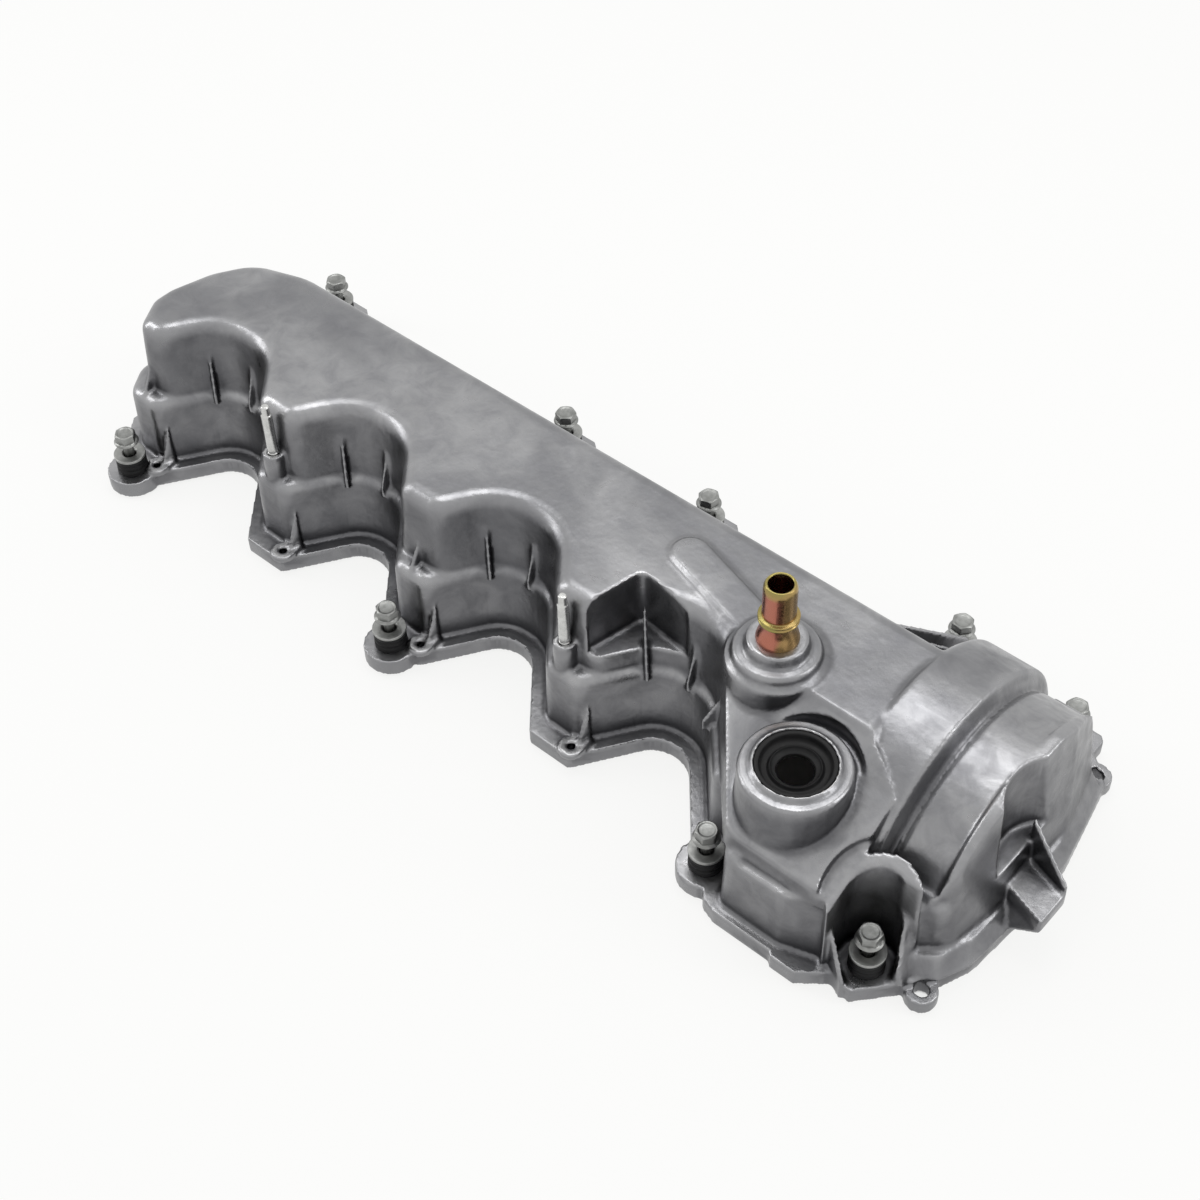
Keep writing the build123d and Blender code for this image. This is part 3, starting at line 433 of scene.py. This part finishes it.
def plated_finish(name, light, dark, roughness):
    """Zinc-plated steel: pale grey with faint clouding and fine scratches."""
    finish = Finish(name)
    cloud = finish.noise(260, 4, 0.6)
    scratch = finish.noise(900, 3, 0.6, finish.stretched((1, 1, 0.15)))
    tone = finish.blend(finish.span(cloud, 0.35, 0.65, 0, 1), light, dark)
    rough = finish.span(scratch, 0.3, 0.7, roughness - 0.06, roughness + 0.1)
    finish.surface(Base_Color=tone, Metallic=1.0, Roughness=rough, Normal=finish.bump(scratch, 0.00004, 0.4))
    return finish.material


def chromate_finish(settings):
    """Yellow zinc plating on the tube: copper body, olive bead and gold rim, drifting with thickness."""
    finish = Finish("yellow_zinc")
    height = finish.add("ShaderNodeSeparateXYZ")
    finish.put(height.inputs[0], finish.place)
    rows = finish.add("ShaderNodeValToRGB")
    finish.put(rows.inputs["Fac"], finish.span(height.outputs["Z"], 0.104, 0.1385, 0, 1))
    stops = (
        (0.0, settings.copper), (0.31, settings.copper), (0.34, settings.olive), (0.455, settings.olive),
        (0.48, settings.copper), (0.86, settings.copper), (0.93, settings.gold), (1.0, settings.olive),
    )
    ramp_stops = rows.color_ramp.elements
    while len(ramp_stops) < len(stops):
        ramp_stops.new(0.5)
    for stop, (where, colour) in zip(ramp_stops, stops):
        stop.position = where
        stop.color = tuple(colour)
    side = finish.sum_up("SUBTRACT", height.outputs["X"], VENT_CENTRE[0] * MM)
    drift = finish.sum_up("MULTIPLY_ADD", finish.noise(60, 2, 0.5, finish.stretched((1, 1, 0.35))), 0.006)
    drift.node.inputs[2].default_value = -0.003
    share = finish.span(finish.sum_up("ADD", side, drift), 0.0035, 0.0062, 0, 0.85, True)
    tone = finish.blend(share, rows.outputs["Color"], tuple(settings.gold))
    rough = finish.span(finish.noise(500, 3), 0.3, 0.7, 0.2, 0.34)
    finish.surface(Base_Color=tone, Metallic=1.0, Roughness=rough,
                   Normal=finish.bump(finish.noise(700, 3), 0.00003, 0.4))
    return finish.material


def rubber_finish(name, colour, roughness):
    """Moulded black rubber: near black, slightly dusty, with a fine skin."""
    finish = Finish(name)
    dust = finish.noise(180, 4, 0.6)
    tone = finish.blend(finish.span(dust, 0.45, 0.75, 0, 0.35), colour, (0.025, 0.0245, 0.0245, 1))
    rough = finish.span(dust, 0.3, 0.7, roughness - 0.08, roughness + 0.12)
    finish.surface(Base_Color=tone, Roughness=rough, Specular_IOR_Level=0.22,
                   Normal=finish.bump(finish.noise(1800, 2), 0.00004, 0.5))
    return finish.material


# Settings that a user would change

class CastingSettings(bpy.types.PropertyGroup):
    voxel: bpy.props.FloatProperty(
        name="Grid", description="Grid on which the shell is rebuilt", default=0.001, unit="LENGTH")
    passes: bpy.props.IntProperty(
        name="Passes", description="Softening passes over the shell", default=3, min=0, max=80)
    fillet: bpy.props.FloatProperty(
        name="Fillet", description="Share of each pass in inner corners", default=0.7, subtype="FACTOR")
    crest: bpy.props.FloatProperty(
        name="Crest", description="Share of each pass on outer edges", default=0.4, subtype="FACTOR")
    triangles: bpy.props.IntProperty(
        name="Triangles", description="Most triangles that the finished shell may have", default=194000)
    tone_light: bpy.props.FloatVectorProperty(
        name="Light tone", description="Clean cast metal", size=4, subtype="COLOR", default=(0.34, 0.34, 0.349, 1))
    tone_dark: bpy.props.FloatVectorProperty(
        name="Dark tone", description="Clouded cast metal", size=4, subtype="COLOR", default=(0.235, 0.236, 0.246, 1))
    # Strength of the painted shade in hollows and inner corners.
    hollow_shade: bpy.props.FloatProperty(
        name="Hollow_shade", description="How dark inner corners are", default=0.55, subtype="FACTOR")
    # Strength of the painted shade on steep faces.
    steep_shade: bpy.props.FloatProperty(
        name="Steep_shade", description="How dark steep faces are", default=0.55, subtype="FACTOR")
    # Strength of the rub wear and painted highlight on outer edges.
    rub_and_highlight: bpy.props.FloatProperty(
        name="Rub_and_highlight", description="How bright outer edges are", default=0.34, subtype="FACTOR")
    roughness: bpy.props.FloatProperty(
        name="Roughness", description="Middle roughness of the metal", default=0.34, subtype="FACTOR")


class FixingSettings(bpy.types.PropertyGroup):
    flats: bpy.props.FloatProperty(
        name="Across flats", description="Width of the bolt heads", default=0.010, unit="LENGTH")
    pitch: bpy.props.FloatProperty(
        name="Thread pitch", description="Rise of the bolt thread in a turn", default=0.001, unit="LENGTH")
    thread_depth: bpy.props.FloatProperty(
        name="Thread depth", description="Depth of the bolt thread", default=0.0005, unit="LENGTH")
    zinc: bpy.props.FloatVectorProperty(
        name="Zinc", description="Plating of bolts and washers", size=4, subtype="COLOR",
        default=(0.31, 0.314, 0.306, 1))
    bright: bpy.props.FloatVectorProperty(
        name="Bright steel", description="Harness studs", size=4, subtype="COLOR", default=(0.62, 0.62, 0.61, 1))


class SoftSettings(bpy.types.PropertyGroup):
    rubber: bpy.props.FloatVectorProperty(
        name="Rubber", description="Grommets, seal and gasket", size=4, subtype="COLOR",
        default=(0.006, 0.006, 0.0065, 1))


class TubeSettings(bpy.types.PropertyGroup):
    copper: bpy.props.FloatVectorProperty(
        name="Copper", description="Body of the vent tube", size=4, subtype="COLOR", default=(0.40, 0.15, 0.105, 1))
    gold: bpy.props.FloatVectorProperty(
        name="Gold", description="Turning bands on the tube", size=4, subtype="COLOR", default=(0.36, 0.25, 0.10, 1))
    olive: bpy.props.FloatVectorProperty(
        name="Olive", description="Bead and rim of the tube", size=4, subtype="COLOR", default=(0.29, 0.245, 0.085, 1))


class StageSettings(bpy.types.PropertyGroup):
    backdrop: bpy.props.FloatVectorProperty(
        name="Backdrop", description="Colour of floor and backdrop", size=4, subtype="COLOR",
        default=(0.985, 0.985, 0.975, 1))
    fill: bpy.props.FloatProperty(name="Fill", description="Even light on the object", default=0.75, min=0)
    key: bpy.props.FloatProperty(name="Key", description="Watts of the large overhead lamp", default=5.0, min=0)
    edge: bpy.props.FloatProperty(name="Edge", description="Watts of the narrow side lamps", default=4.0, min=0)
    focal: bpy.props.FloatProperty(name="Focal length", description="Camera lens in millimetres", default=60.58)


# Pieces

class COVER_OT_casting(bpy.types.Operator):
    """The cast shell: the CAD solid rebuilt on an even grid, then softened so that inner corners have
    fillets and outer edges are rounded, as a casting's are"""
    bl_idname = "valvecover.casting"
    bl_label = "Cast shell"

    def execute(self, context):
        settings = context.scene.cover_casting_settings
        points, triangles = merged_copy("cover_casting")
        raw = bpy.data.objects.new("raw_shell", mesh_of("raw_shell", points, [triangles]))
        collection().objects.link(raw)
        grid = raw.modifiers.new("grid", "REMESH")
        grid.mode = "VOXEL"
        grid.voxel_size = settings.voxel
        mesh = evaluated(raw, "cast_shell")
        bpy.data.objects.remove(raw)
        points, quads, edges = mesh_arrays(mesh)
        crisp = crisp_places(points)
        height = points[:, 2] / MM
        body = ramp(height, 10.5, 16)
        crest = settings.crest * (0.22 + 0.78 * body) * (1 - 0.85 * crisp)
        fillet = settings.fillet * ramp(height, 7.5, 9.5) * (1 - crisp)
        fillet = np.maximum(fillet, 0.2 * (1 - crisp))
        points = softened(points, quads, edges, fillet, crest, settings.passes)
        mesh.vertices.foreach_set("co", points.ravel())
        keep_relief(mesh, points, quads, edges)
        mesh.update()
        shell = bpy.data.objects.new("shell", mesh)
        collection().objects.link(shell)
        fewer = shell.modifiers.new("fewer", "DECIMATE")
        fewer.ratio = min(1.0, settings.triangles / (2 * len(quads)))
        final = evaluated(shell, "cast_shell")
        bpy.data.objects.remove(shell)
        piece = placed("cast_shell", final, cast_finish(settings), COVER, sharp=0)
        flatten_light(final)
        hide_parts("cover_casting")
        return {"FINISHED"}


def bolt_profile(low, seat, top):
    """Rows of the bolt from its tip to the middle of its head: radius, height, and whether the row is
    hexagonal and by how much the head's chamfer holds it."""
    shank = np.arange(low + 1.0, seat - 12.0, 1 / 6)
    rows = [(1.2, low, 0, 0), (2.1, low + 0.05, 0, 0), (2.5, low + 0.5, 0, 0)]
    rows += [(3.0, z, 1, 0) for z in shank]
    rows += [
        (2.75, seat - 11.8, 0, 0), (2.75, seat - 0.4, 0, 0), (3.0, seat - 0.05, 0, 0), (6.1, seat, 0, 0),
        (6.45, seat + 0.1, 0, 0), (6.6, seat + 0.35, 0, 0), (6.58, seat + 0.6, 0, 0), (6.4, seat + 0.82, 0, 0),
        (6.1, seat + 1.05, 0, 0), (5.86, seat + 1.3, 0, 0),
    ]
    head = np.concatenate([np.linspace(seat + 1.5, top - 1.0, 4), np.linspace(top - 0.85, top, 8)])
    rows += [(9.0, z, 0, 1) for z in head]
    rows += [
        (4.2, top - 0.02, 0, 0), (3.95, top - 0.1, 0, 0), (3.7, top - 0.28, 0, 0), (3.2, top - 0.36, 0, 0),
        (1.0, top - 0.38, 0, 0),
    ]
    return np.array(rows)


class COVER_OT_bolts(bpy.types.Operator):
    """The captive hex flange bolts. The thread is r = R + d t, where t falls and rises once for each rise
    of one pitch less one turn; the head is the lesser of a hexagon and a cone, row by row"""
    bl_idname = "valvecover.bolts"
    bl_label = "Captive bolts"

    def execute(self, context):
        settings = context.scene.cover_fixing_settings
        finish = plated_finish("zinc_steel", settings.zinc, (0.22, 0.223, 0.216, 1), 0.38)
        half = settings.flats / 2 / MM
        pitch = settings.pitch / MM
        depth = settings.thread_depth / MM
        turns = (12, 25, 48, 31, 5, 40, 18, 52, 9)
        for number in range(1, BOLT_COUNT + 1):
            x, y, low, high = node_middle(f"bolt_{number}")
            top = high / MM
            seat = top - 6.2
            rows = bolt_profile(low / MM, seat, top)

            def shaped(radius, z, angle):
                """Thread on the threaded rows and the chamfered hexagon on the head's rows."""
                turn = (z / pitch - angle / (2 * np.pi)) % 1.0
                threaded = radius - depth * np.abs(2 * turn - 1)
                around = (angle - np.radians(turns[number - 1])) % (np.pi / 3) - np.pi / 6
                hexagon = half / np.cos(around)
                cone = half * 0.92 + (top - z) * 1.6
                head = np.minimum(np.minimum(hexagon, cone), half / np.cos(np.pi / 6) - 0.06)
                radius = np.where(rows[:, 2:3] > 0, threaded, radius)
                return np.where(rows[:, 3:4] > 0, head, radius), z

            mesh = turned(f"captive_bolt_{number}_steel", rows[:, :2], (x, y), 72, False, shaped)
            piece = placed(mesh.name, mesh, finish, f"captive_bolt_{number}", sharp=32)
            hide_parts(f"bolt_{number}")
        return {"FINISHED"}


class COVER_OT_sleeves(bpy.types.Operator):
    """The steel sleeves with their washers: a ring profile with eased corners carried round each bolt"""
    bl_idname = "valvecover.sleeves"
    bl_label = "Sleeves and washers"

    def execute(self, context):
        settings = context.scene.cover_fixing_settings
        finish = plated_finish("washer_zinc", (0.36, 0.364, 0.355, 1), (0.27, 0.273, 0.265, 1), 0.42)
        for number in range(1, BOLT_COUNT + 1):
            x, y, low, high = node_middle(f"sleeve_{number}")
            low, high = low / MM, high / MM
            corners = [
                (3.35, low), (4.75, low), (4.75, high - 1.5), (8.5, high - 1.5), (8.5, high), (4.15, high),
                (3.35, high - 0.8),
            ]
            profile = eased(corners, [0.15, 0.15, 0.2, 0.35, 0.35, 0.25, 0.3], True)
            mesh = turned(f"washer_sleeve_{number}", profile, (x, y), 64, True)
            piece = placed(mesh.name, mesh, finish, COVER)
            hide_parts(f"sleeve_{number}")
        return {"FINISHED"}


class COVER_OT_grommets(bpy.types.Operator):
    """The black rubber grommets: a ring profile with two soft waists carried round each bolt"""
    bl_idname = "valvecover.grommets"
    bl_label = "Grommets"

    def execute(self, context):
        settings = context.scene.cover_soft_settings
        finish = rubber_finish("black_rubber", settings.rubber, 0.5)
        for number in range(1, BOLT_COUNT + 1):
            x, y, low, high = node_middle(f"grommet_{number}")
            low, high = low / MM, high / MM
            corners = [
                (4.8, low), (6.8, low), (6.8, 10.05), (8.3, 10.05), (8.3, 12.4), (7.7, 13.2), (7.7, 13.9),
                (8.2, 14.7), (8.2, 15.6), (7.6, 16.4), (7.6, 17.0), (8.3, 17.8), (8.2, high), (4.8, high),
            ]
            ease = [0.2, 0.3, 0.2, 0.35, 0.7, 0.5, 0.5, 0.6, 0.6, 0.5, 0.5, 0.6, 0.3, 0.2]
            mesh = turned(f"rubber_grommet_{number}", eased(corners, ease, True), (x, y), 64, True)
            piece = placed(mesh.name, mesh, finish, COVER, sharp=60)
            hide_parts(f"grommet_{number}")
        return {"FINISHED"}


class COVER_OT_seal(bpy.types.Operator):
    """The round port seal: an outer bead, a dished web and a thin lip, carried round the port's axis"""
    bl_idname = "valvecover.seal"
    bl_label = "Port seal"

    def execute(self, context):
        settings = context.scene.cover_soft_settings
        x, y, low, high = node_middle("port_seal")
        low, high = low / MM, high / MM
        corners = [
            (17.95, low), (17.95, high), (16.0, high), (15.3, high - 2.6), (14.6, high - 3.6), (12.4, high - 3.9),
            (11.7, high - 3.0), (11.2, high - 2.1), (10.7, high - 3.2), (9.9, high - 4.0), (8.5, high - 4.6),
            (8.5, high - 6.5), (10.4, high - 6.1), (15.0, high - 5.5), (15.0, low),
        ]
        ease = [0.3, 0.5, 0.8, 1.2, 0.6, 0.9, 0.4, 0.5, 0.4, 0.5, 0.5, 0.5, 0.8, 0.8, 0.3]
        mesh = turned("port_seal_rubber", eased(corners, ease, True), (x, y), 128, True)
        finish = rubber_finish("seal_rubber", settings.rubber, 0.5)
        piece = placed(mesh.name, mesh, finish, COVER, sharp=60)
        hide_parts("port_seal")
        return {"FINISHED"}


class COVER_OT_tube(bpy.types.Operator):
    """The vent tube: a flared foot, a double bead and a rolled rim, as a ring profile carried round its axis"""
    bl_idname = "valvecover.tube"
    bl_label = "Vent tube"

    def execute(self, context):
        settings = context.scene.cover_tube_settings
        x, y, low, high = node_middle("vent_tube")
        low, high = low / MM, high / MM
        corners = [
            (6.4, low), (7.6, low), (7.6, 104.45), (9.8, 104.5), (9.8, 105.4), (9.2, 107.6), (8.1, 110.8),
            (7.75, 113.0), (7.7, 116.0), (9.1, 116.4), (9.3, 117.1), (8.7, 117.7), (8.7, 118.0), (9.4, 118.6),
            (9.2, 119.4), (7.6, 119.7), (7.6, high - 2.7), (7.3, high - 1.3), (6.7, high - 0.2), (6.2, high),
            (5.6, high - 0.3), (5.5, high - 1.0), (6.4, high - 3.0),
        ]
        ease = [0.2, 0.2, 0.1, 0.2, 0.5, 1.0, 1.5, 1.2, 0.4, 0.4, 0.4, 0.2, 0.2, 0.4, 0.4, 0.4, 0.8, 0.6, 0.4, 0.3,
                0.3, 0.4, 0.6]
        mesh = turned("vent_tube_plated", eased(corners, ease, True), (x, y), 96, True)
        piece = placed(mesh.name, mesh, chromate_finish(settings), COVER, sharp=50)
        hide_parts("vent_tube")
        return {"FINISHED"}


class COVER_OT_studs(bpy.types.Operator):
    """The harness studs: a turned pin with a drawn finish, its narrower tip and the collar at its foot"""
    bl_idname = "valvecover.studs"
    bl_label = "Harness studs"

    def execute(self, context):
        settings = context.scene.cover_fixing_settings
        finish = plated_finish("bright_steel", settings.bright, (0.5, 0.5, 0.49, 1), 0.24)
        for number in range(1, STUD_COUNT + 1):
            x, y, low, high = node_middle(f"harness_stud_{number}")
            low, high = low / MM, high / MM
            corners = [
                (0.4, low), (2.6, low), (2.8, low + 0.4), (2.8, 65.4), (2.5, 65.6), (2.5, 66.6), (2.8, 66.9),
                (2.8, high - 6.0), (2.2, high - 5.0), (2.15, high - 0.7), (1.6, high), (0.4, high),
            ]
            ease = [0, 0.1, 0.1, 0.15, 0.15, 0.15, 0.15, 0.3, 0.3, 0.25, 0.3, 0]
            mesh = turned(f"harness_stud_{number}_steel", eased(corners, ease, False), (x, y), 48, False)
            piece = placed(mesh.name, mesh, finish, COVER)
            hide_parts(f"harness_stud_{number}")
        return {"FINISHED"}


class COVER_OT_gasket(bpy.types.Operator):
    """The moulded gasket keeps its CAD shape and gets its rubber"""
    bl_idname = "valvecover.gasket"
    bl_label = "Gasket"

    def execute(self, context):
        settings = context.scene.cover_soft_settings
        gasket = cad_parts["gasket"]
        gasket.data.materials.clear()
        gasket.data.materials.append(rubber_finish("gasket_rubber", settings.rubber, 0.55))
        return {"FINISHED"}


# Stage

def seen_white(tree, colour):
    """1 for rays from the camera and for mirror and glass rays, which all see the plain backdrop."""
    path = tree.nodes.new("ShaderNodeLightPath")
    first = tree.nodes.new("ShaderNodeMath")
    first.operation = "MAXIMUM"
    second = tree.nodes.new("ShaderNodeMath")
    second.operation = "MAXIMUM"
    tree.links.new(path.outputs["Is Camera Ray"], first.inputs[0])
    tree.links.new(path.outputs["Is Glossy Ray"], first.inputs[1])
    tree.links.new(first.outputs[0], second.inputs[0])
    tree.links.new(path.outputs["Is Transmission Ray"], second.inputs[1])
    return second.outputs[0]


def outside_share(tree, full):
    """full on the floor around the object, and 0 on the floor shut in under its middle."""
    place = tree.nodes.new("ShaderNodeSeparateXYZ")
    tree.links.new(tree.nodes.new("ShaderNodeTexCoord").outputs["Object"], place.inputs[0])
    beyond = []
    for axis, half in zip("XY", SHUT_IN):
        reach = tree.nodes.new("ShaderNodeMath")
        reach.operation = "ABSOLUTE"
        tree.links.new(place.outputs[axis], reach.inputs[0])
        out = tree.nodes.new("ShaderNodeMath")
        out.operation = "GREATER_THAN"
        tree.links.new(reach.outputs[0], out.inputs[0])
        out.inputs[1].default_value = half
        beyond.append(out.outputs[0])
    either = tree.nodes.new("ShaderNodeMath")
    either.operation = "MAXIMUM"
    tree.links.new(beyond[0], either.inputs[0])
    tree.links.new(beyond[1], either.inputs[1])
    scaled = tree.nodes.new("ShaderNodeMath")
    scaled.operation = "MULTIPLY"
    tree.links.new(either.outputs[0], scaled.inputs[0])
    scaled.inputs[1].default_value = full
    return scaled.outputs[0]


def floor_material(settings):
    """Backdrop colour where it is seen, over a pale matt floor that keeps the object's soft shadow."""
    material = bpy.data.materials.new("pale_floor")
    material.use_nodes = True
    tree = material.node_tree
    tree.nodes.clear()
    output = tree.nodes.new("ShaderNodeOutputMaterial")
    matt = tree.nodes.new("ShaderNodeBsdfDiffuse")
    matt.inputs["Color"].default_value = (0.8, 0.8, 0.8, 1)
    glow = tree.nodes.new("ShaderNodeEmission")
    glow.inputs["Color"].default_value = settings.backdrop
    open_sky = tree.nodes.new("ShaderNodeAmbientOcclusion")
    open_sky.samples = 16
    open_sky.inputs["Distance"].default_value = 0.16
    share = tree.nodes.new("ShaderNodeMapRange")
    tree.links.new(open_sky.outputs["AO"], share.inputs["Value"])
    share.inputs["From Min"].default_value = 0.02
    share.inputs["From Max"].default_value = 0.1
    tree.links.new(outside_share(tree, 0.86), share.inputs["To Max"])
    seen = tree.nodes.new("ShaderNodeMath")
    seen.operation = "MULTIPLY"
    tree.links.new(seen_white(tree, settings.backdrop), seen.inputs[0])
    tree.links.new(share.outputs["Result"], seen.inputs[1])
    mix = tree.nodes.new("ShaderNodeMixShader")
    tree.links.new(seen.outputs[0], mix.inputs["Fac"])
    tree.links.new(matt.outputs[0], mix.inputs[1])
    tree.links.new(glow.outputs[0], mix.inputs[2])
    tree.links.new(mix.outputs[0], output.inputs["Surface"])
    return material


def area_lamp(name, power, size, place, toward):
    """A rectangular lamp of a width and height at a place, facing a point."""
    lamp = bpy.data.lights.new(name, "AREA")
    lamp.shape = "RECTANGLE"
    lamp.size, lamp.size_y = size
    lamp.energy = power
    thing = bpy.data.objects.new(name, lamp)
    back = (np.array(place) - np.array(toward)) / np.linalg.norm(np.array(place) - np.array(toward))
    right = np.cross(UP if abs(back[2]) < 0.99 else np.array([0, 1.0, 0]), back)
    right /= np.linalg.norm(right)
    turn = np.eye(4)
    turn[:3, 0], turn[:3, 1], turn[:3, 2], turn[:3, 3] = right, np.cross(back, right), back, place
    thing.matrix_world = Matrix(turn.tolist())
    collection().objects.link(thing)
    return thing


class COVER_OT_stage(bpy.types.Operator):
    """Pale floor and backdrop, soft lamps, and the camera at the photograph's angle"""
    bl_idname = "valvecover.stage"
    bl_label = "Stage"

    def execute(self, context):
        scene = context.scene
        settings = scene.cover_stage_settings
        scene.view_settings.view_transform = "Standard"
        half = 6.0
        corners = np.array([(-half, -half, 0), (half, -half, 0), (half, half, 0), (-half, half, 0)], float)
        corners[:, 2] = -0.0004
        floor = bpy.data.objects.new("floor", mesh_of("floor", corners, [np.array([[0, 1, 2, 3]])]))
        floor.data.materials.append(floor_material(settings))
        collection().objects.link(floor)

        world = bpy.data.worlds.new("backdrop")
        scene.world = world
        world.use_nodes = True
        tree = world.node_tree
        light = tree.nodes["Background"]
        light.inputs["Color"].default_value = (1, 1, 1, 1)
        light.inputs["Strength"].default_value = settings.fill
        seen = tree.nodes.new("ShaderNodeBackground")
        seen.inputs["Color"].default_value = settings.backdrop
        mix = tree.nodes.new("ShaderNodeMixShader")
        tree.links.new(seen_white(tree, settings.backdrop), mix.inputs["Fac"])
        tree.links.new(light.outputs[0], mix.inputs[1])
        tree.links.new(seen.outputs[0], mix.inputs[2])
        tree.links.new(mix.outputs[0], tree.nodes["World Output"].inputs["Surface"])

        area_lamp("overhead", settings.key, (0.9, 0.6), (-0.15, 0.25, 1.25), (0.0, 0.0, 0.05))
        area_lamp("side_left", settings.edge, (0.25, 1.2), (-1.1, -0.5, 0.7), (0.0, 0.0, 0.05))
        area_lamp("side_right", settings.edge, (0.25, 1.2), (1.1, 0.5, 0.8), (0.1, 0.0, 0.05))

        lens = bpy.data.cameras.new("camera")
        lens.sensor_width = 36.0
        lens.lens = settings.focal
        camera = bpy.data.objects.new("camera", lens)
        right = (0.7534, 0.6571, -0.0229)
        up = (-0.474, 0.5669, 0.6738)
        back = (0.4557, -0.4968, 0.7385)
        place = (0.47015, -0.5012, 0.7643)
        camera.matrix_world = Matrix([[*row] for row in zip(right, up, back, place)] + [[0, 0, 0, 1]])
        lens.clip_start = 0.01
        lens.clip_end = 50
        collection().objects.link(camera)
        scene.camera = camera
        return {"FINISHED"}


class COVER_PT_panel(bpy.types.Panel):
    """Lists the pieces of the valve cover"""
    bl_idname = "COVER_PT_panel"
    bl_label = "Valve Cover"
    bl_space_type = "VIEW_3D"
    bl_region_type = "UI"
    bl_category = "Valve Cover"

    def draw(self, context):
        for group in SETTINGS:
            box = self.layout.box()
            owner = getattr(context.scene, group)
            for key in SETTINGS[group].__annotations__:
                box.prop(owner, key)
        for operator in OPERATORS:
            self.layout.operator(operator.bl_idname)


SETTINGS = {
    "cover_casting_settings": CastingSettings,
    "cover_fixing_settings": FixingSettings,
    "cover_soft_settings": SoftSettings,
    "cover_tube_settings": TubeSettings,
    "cover_stage_settings": StageSettings,
}
OPERATORS = (
    COVER_OT_stage, COVER_OT_casting, COVER_OT_bolts, COVER_OT_sleeves, COVER_OT_grommets, COVER_OT_seal,
    COVER_OT_tube, COVER_OT_studs, COVER_OT_gasket,
)
CLASSES = (*SETTINGS.values(), *OPERATORS, COVER_PT_panel)


def register():
    """Makes the classes known and gives the scene its settings."""
    for kind in CLASSES:
        bpy.utils.register_class(kind)
    for key, kind in SETTINGS.items():
        setattr(bpy.types.Scene, key, bpy.props.PointerProperty(type=kind))


def unregister():
    """Takes the settings and the classes away again."""
    for key in SETTINGS:
        delattr(bpy.types.Scene, key)
    for kind in reversed(CLASSES):
        bpy.utils.unregister_class(kind)


def main():
    """Builds every piece in order."""
    register()
    for operator in OPERATORS:
        group, name = operator.bl_idname.split(".")
        getattr(getattr(bpy.ops, group), name)()


if __name__ == "__main__":
    main()
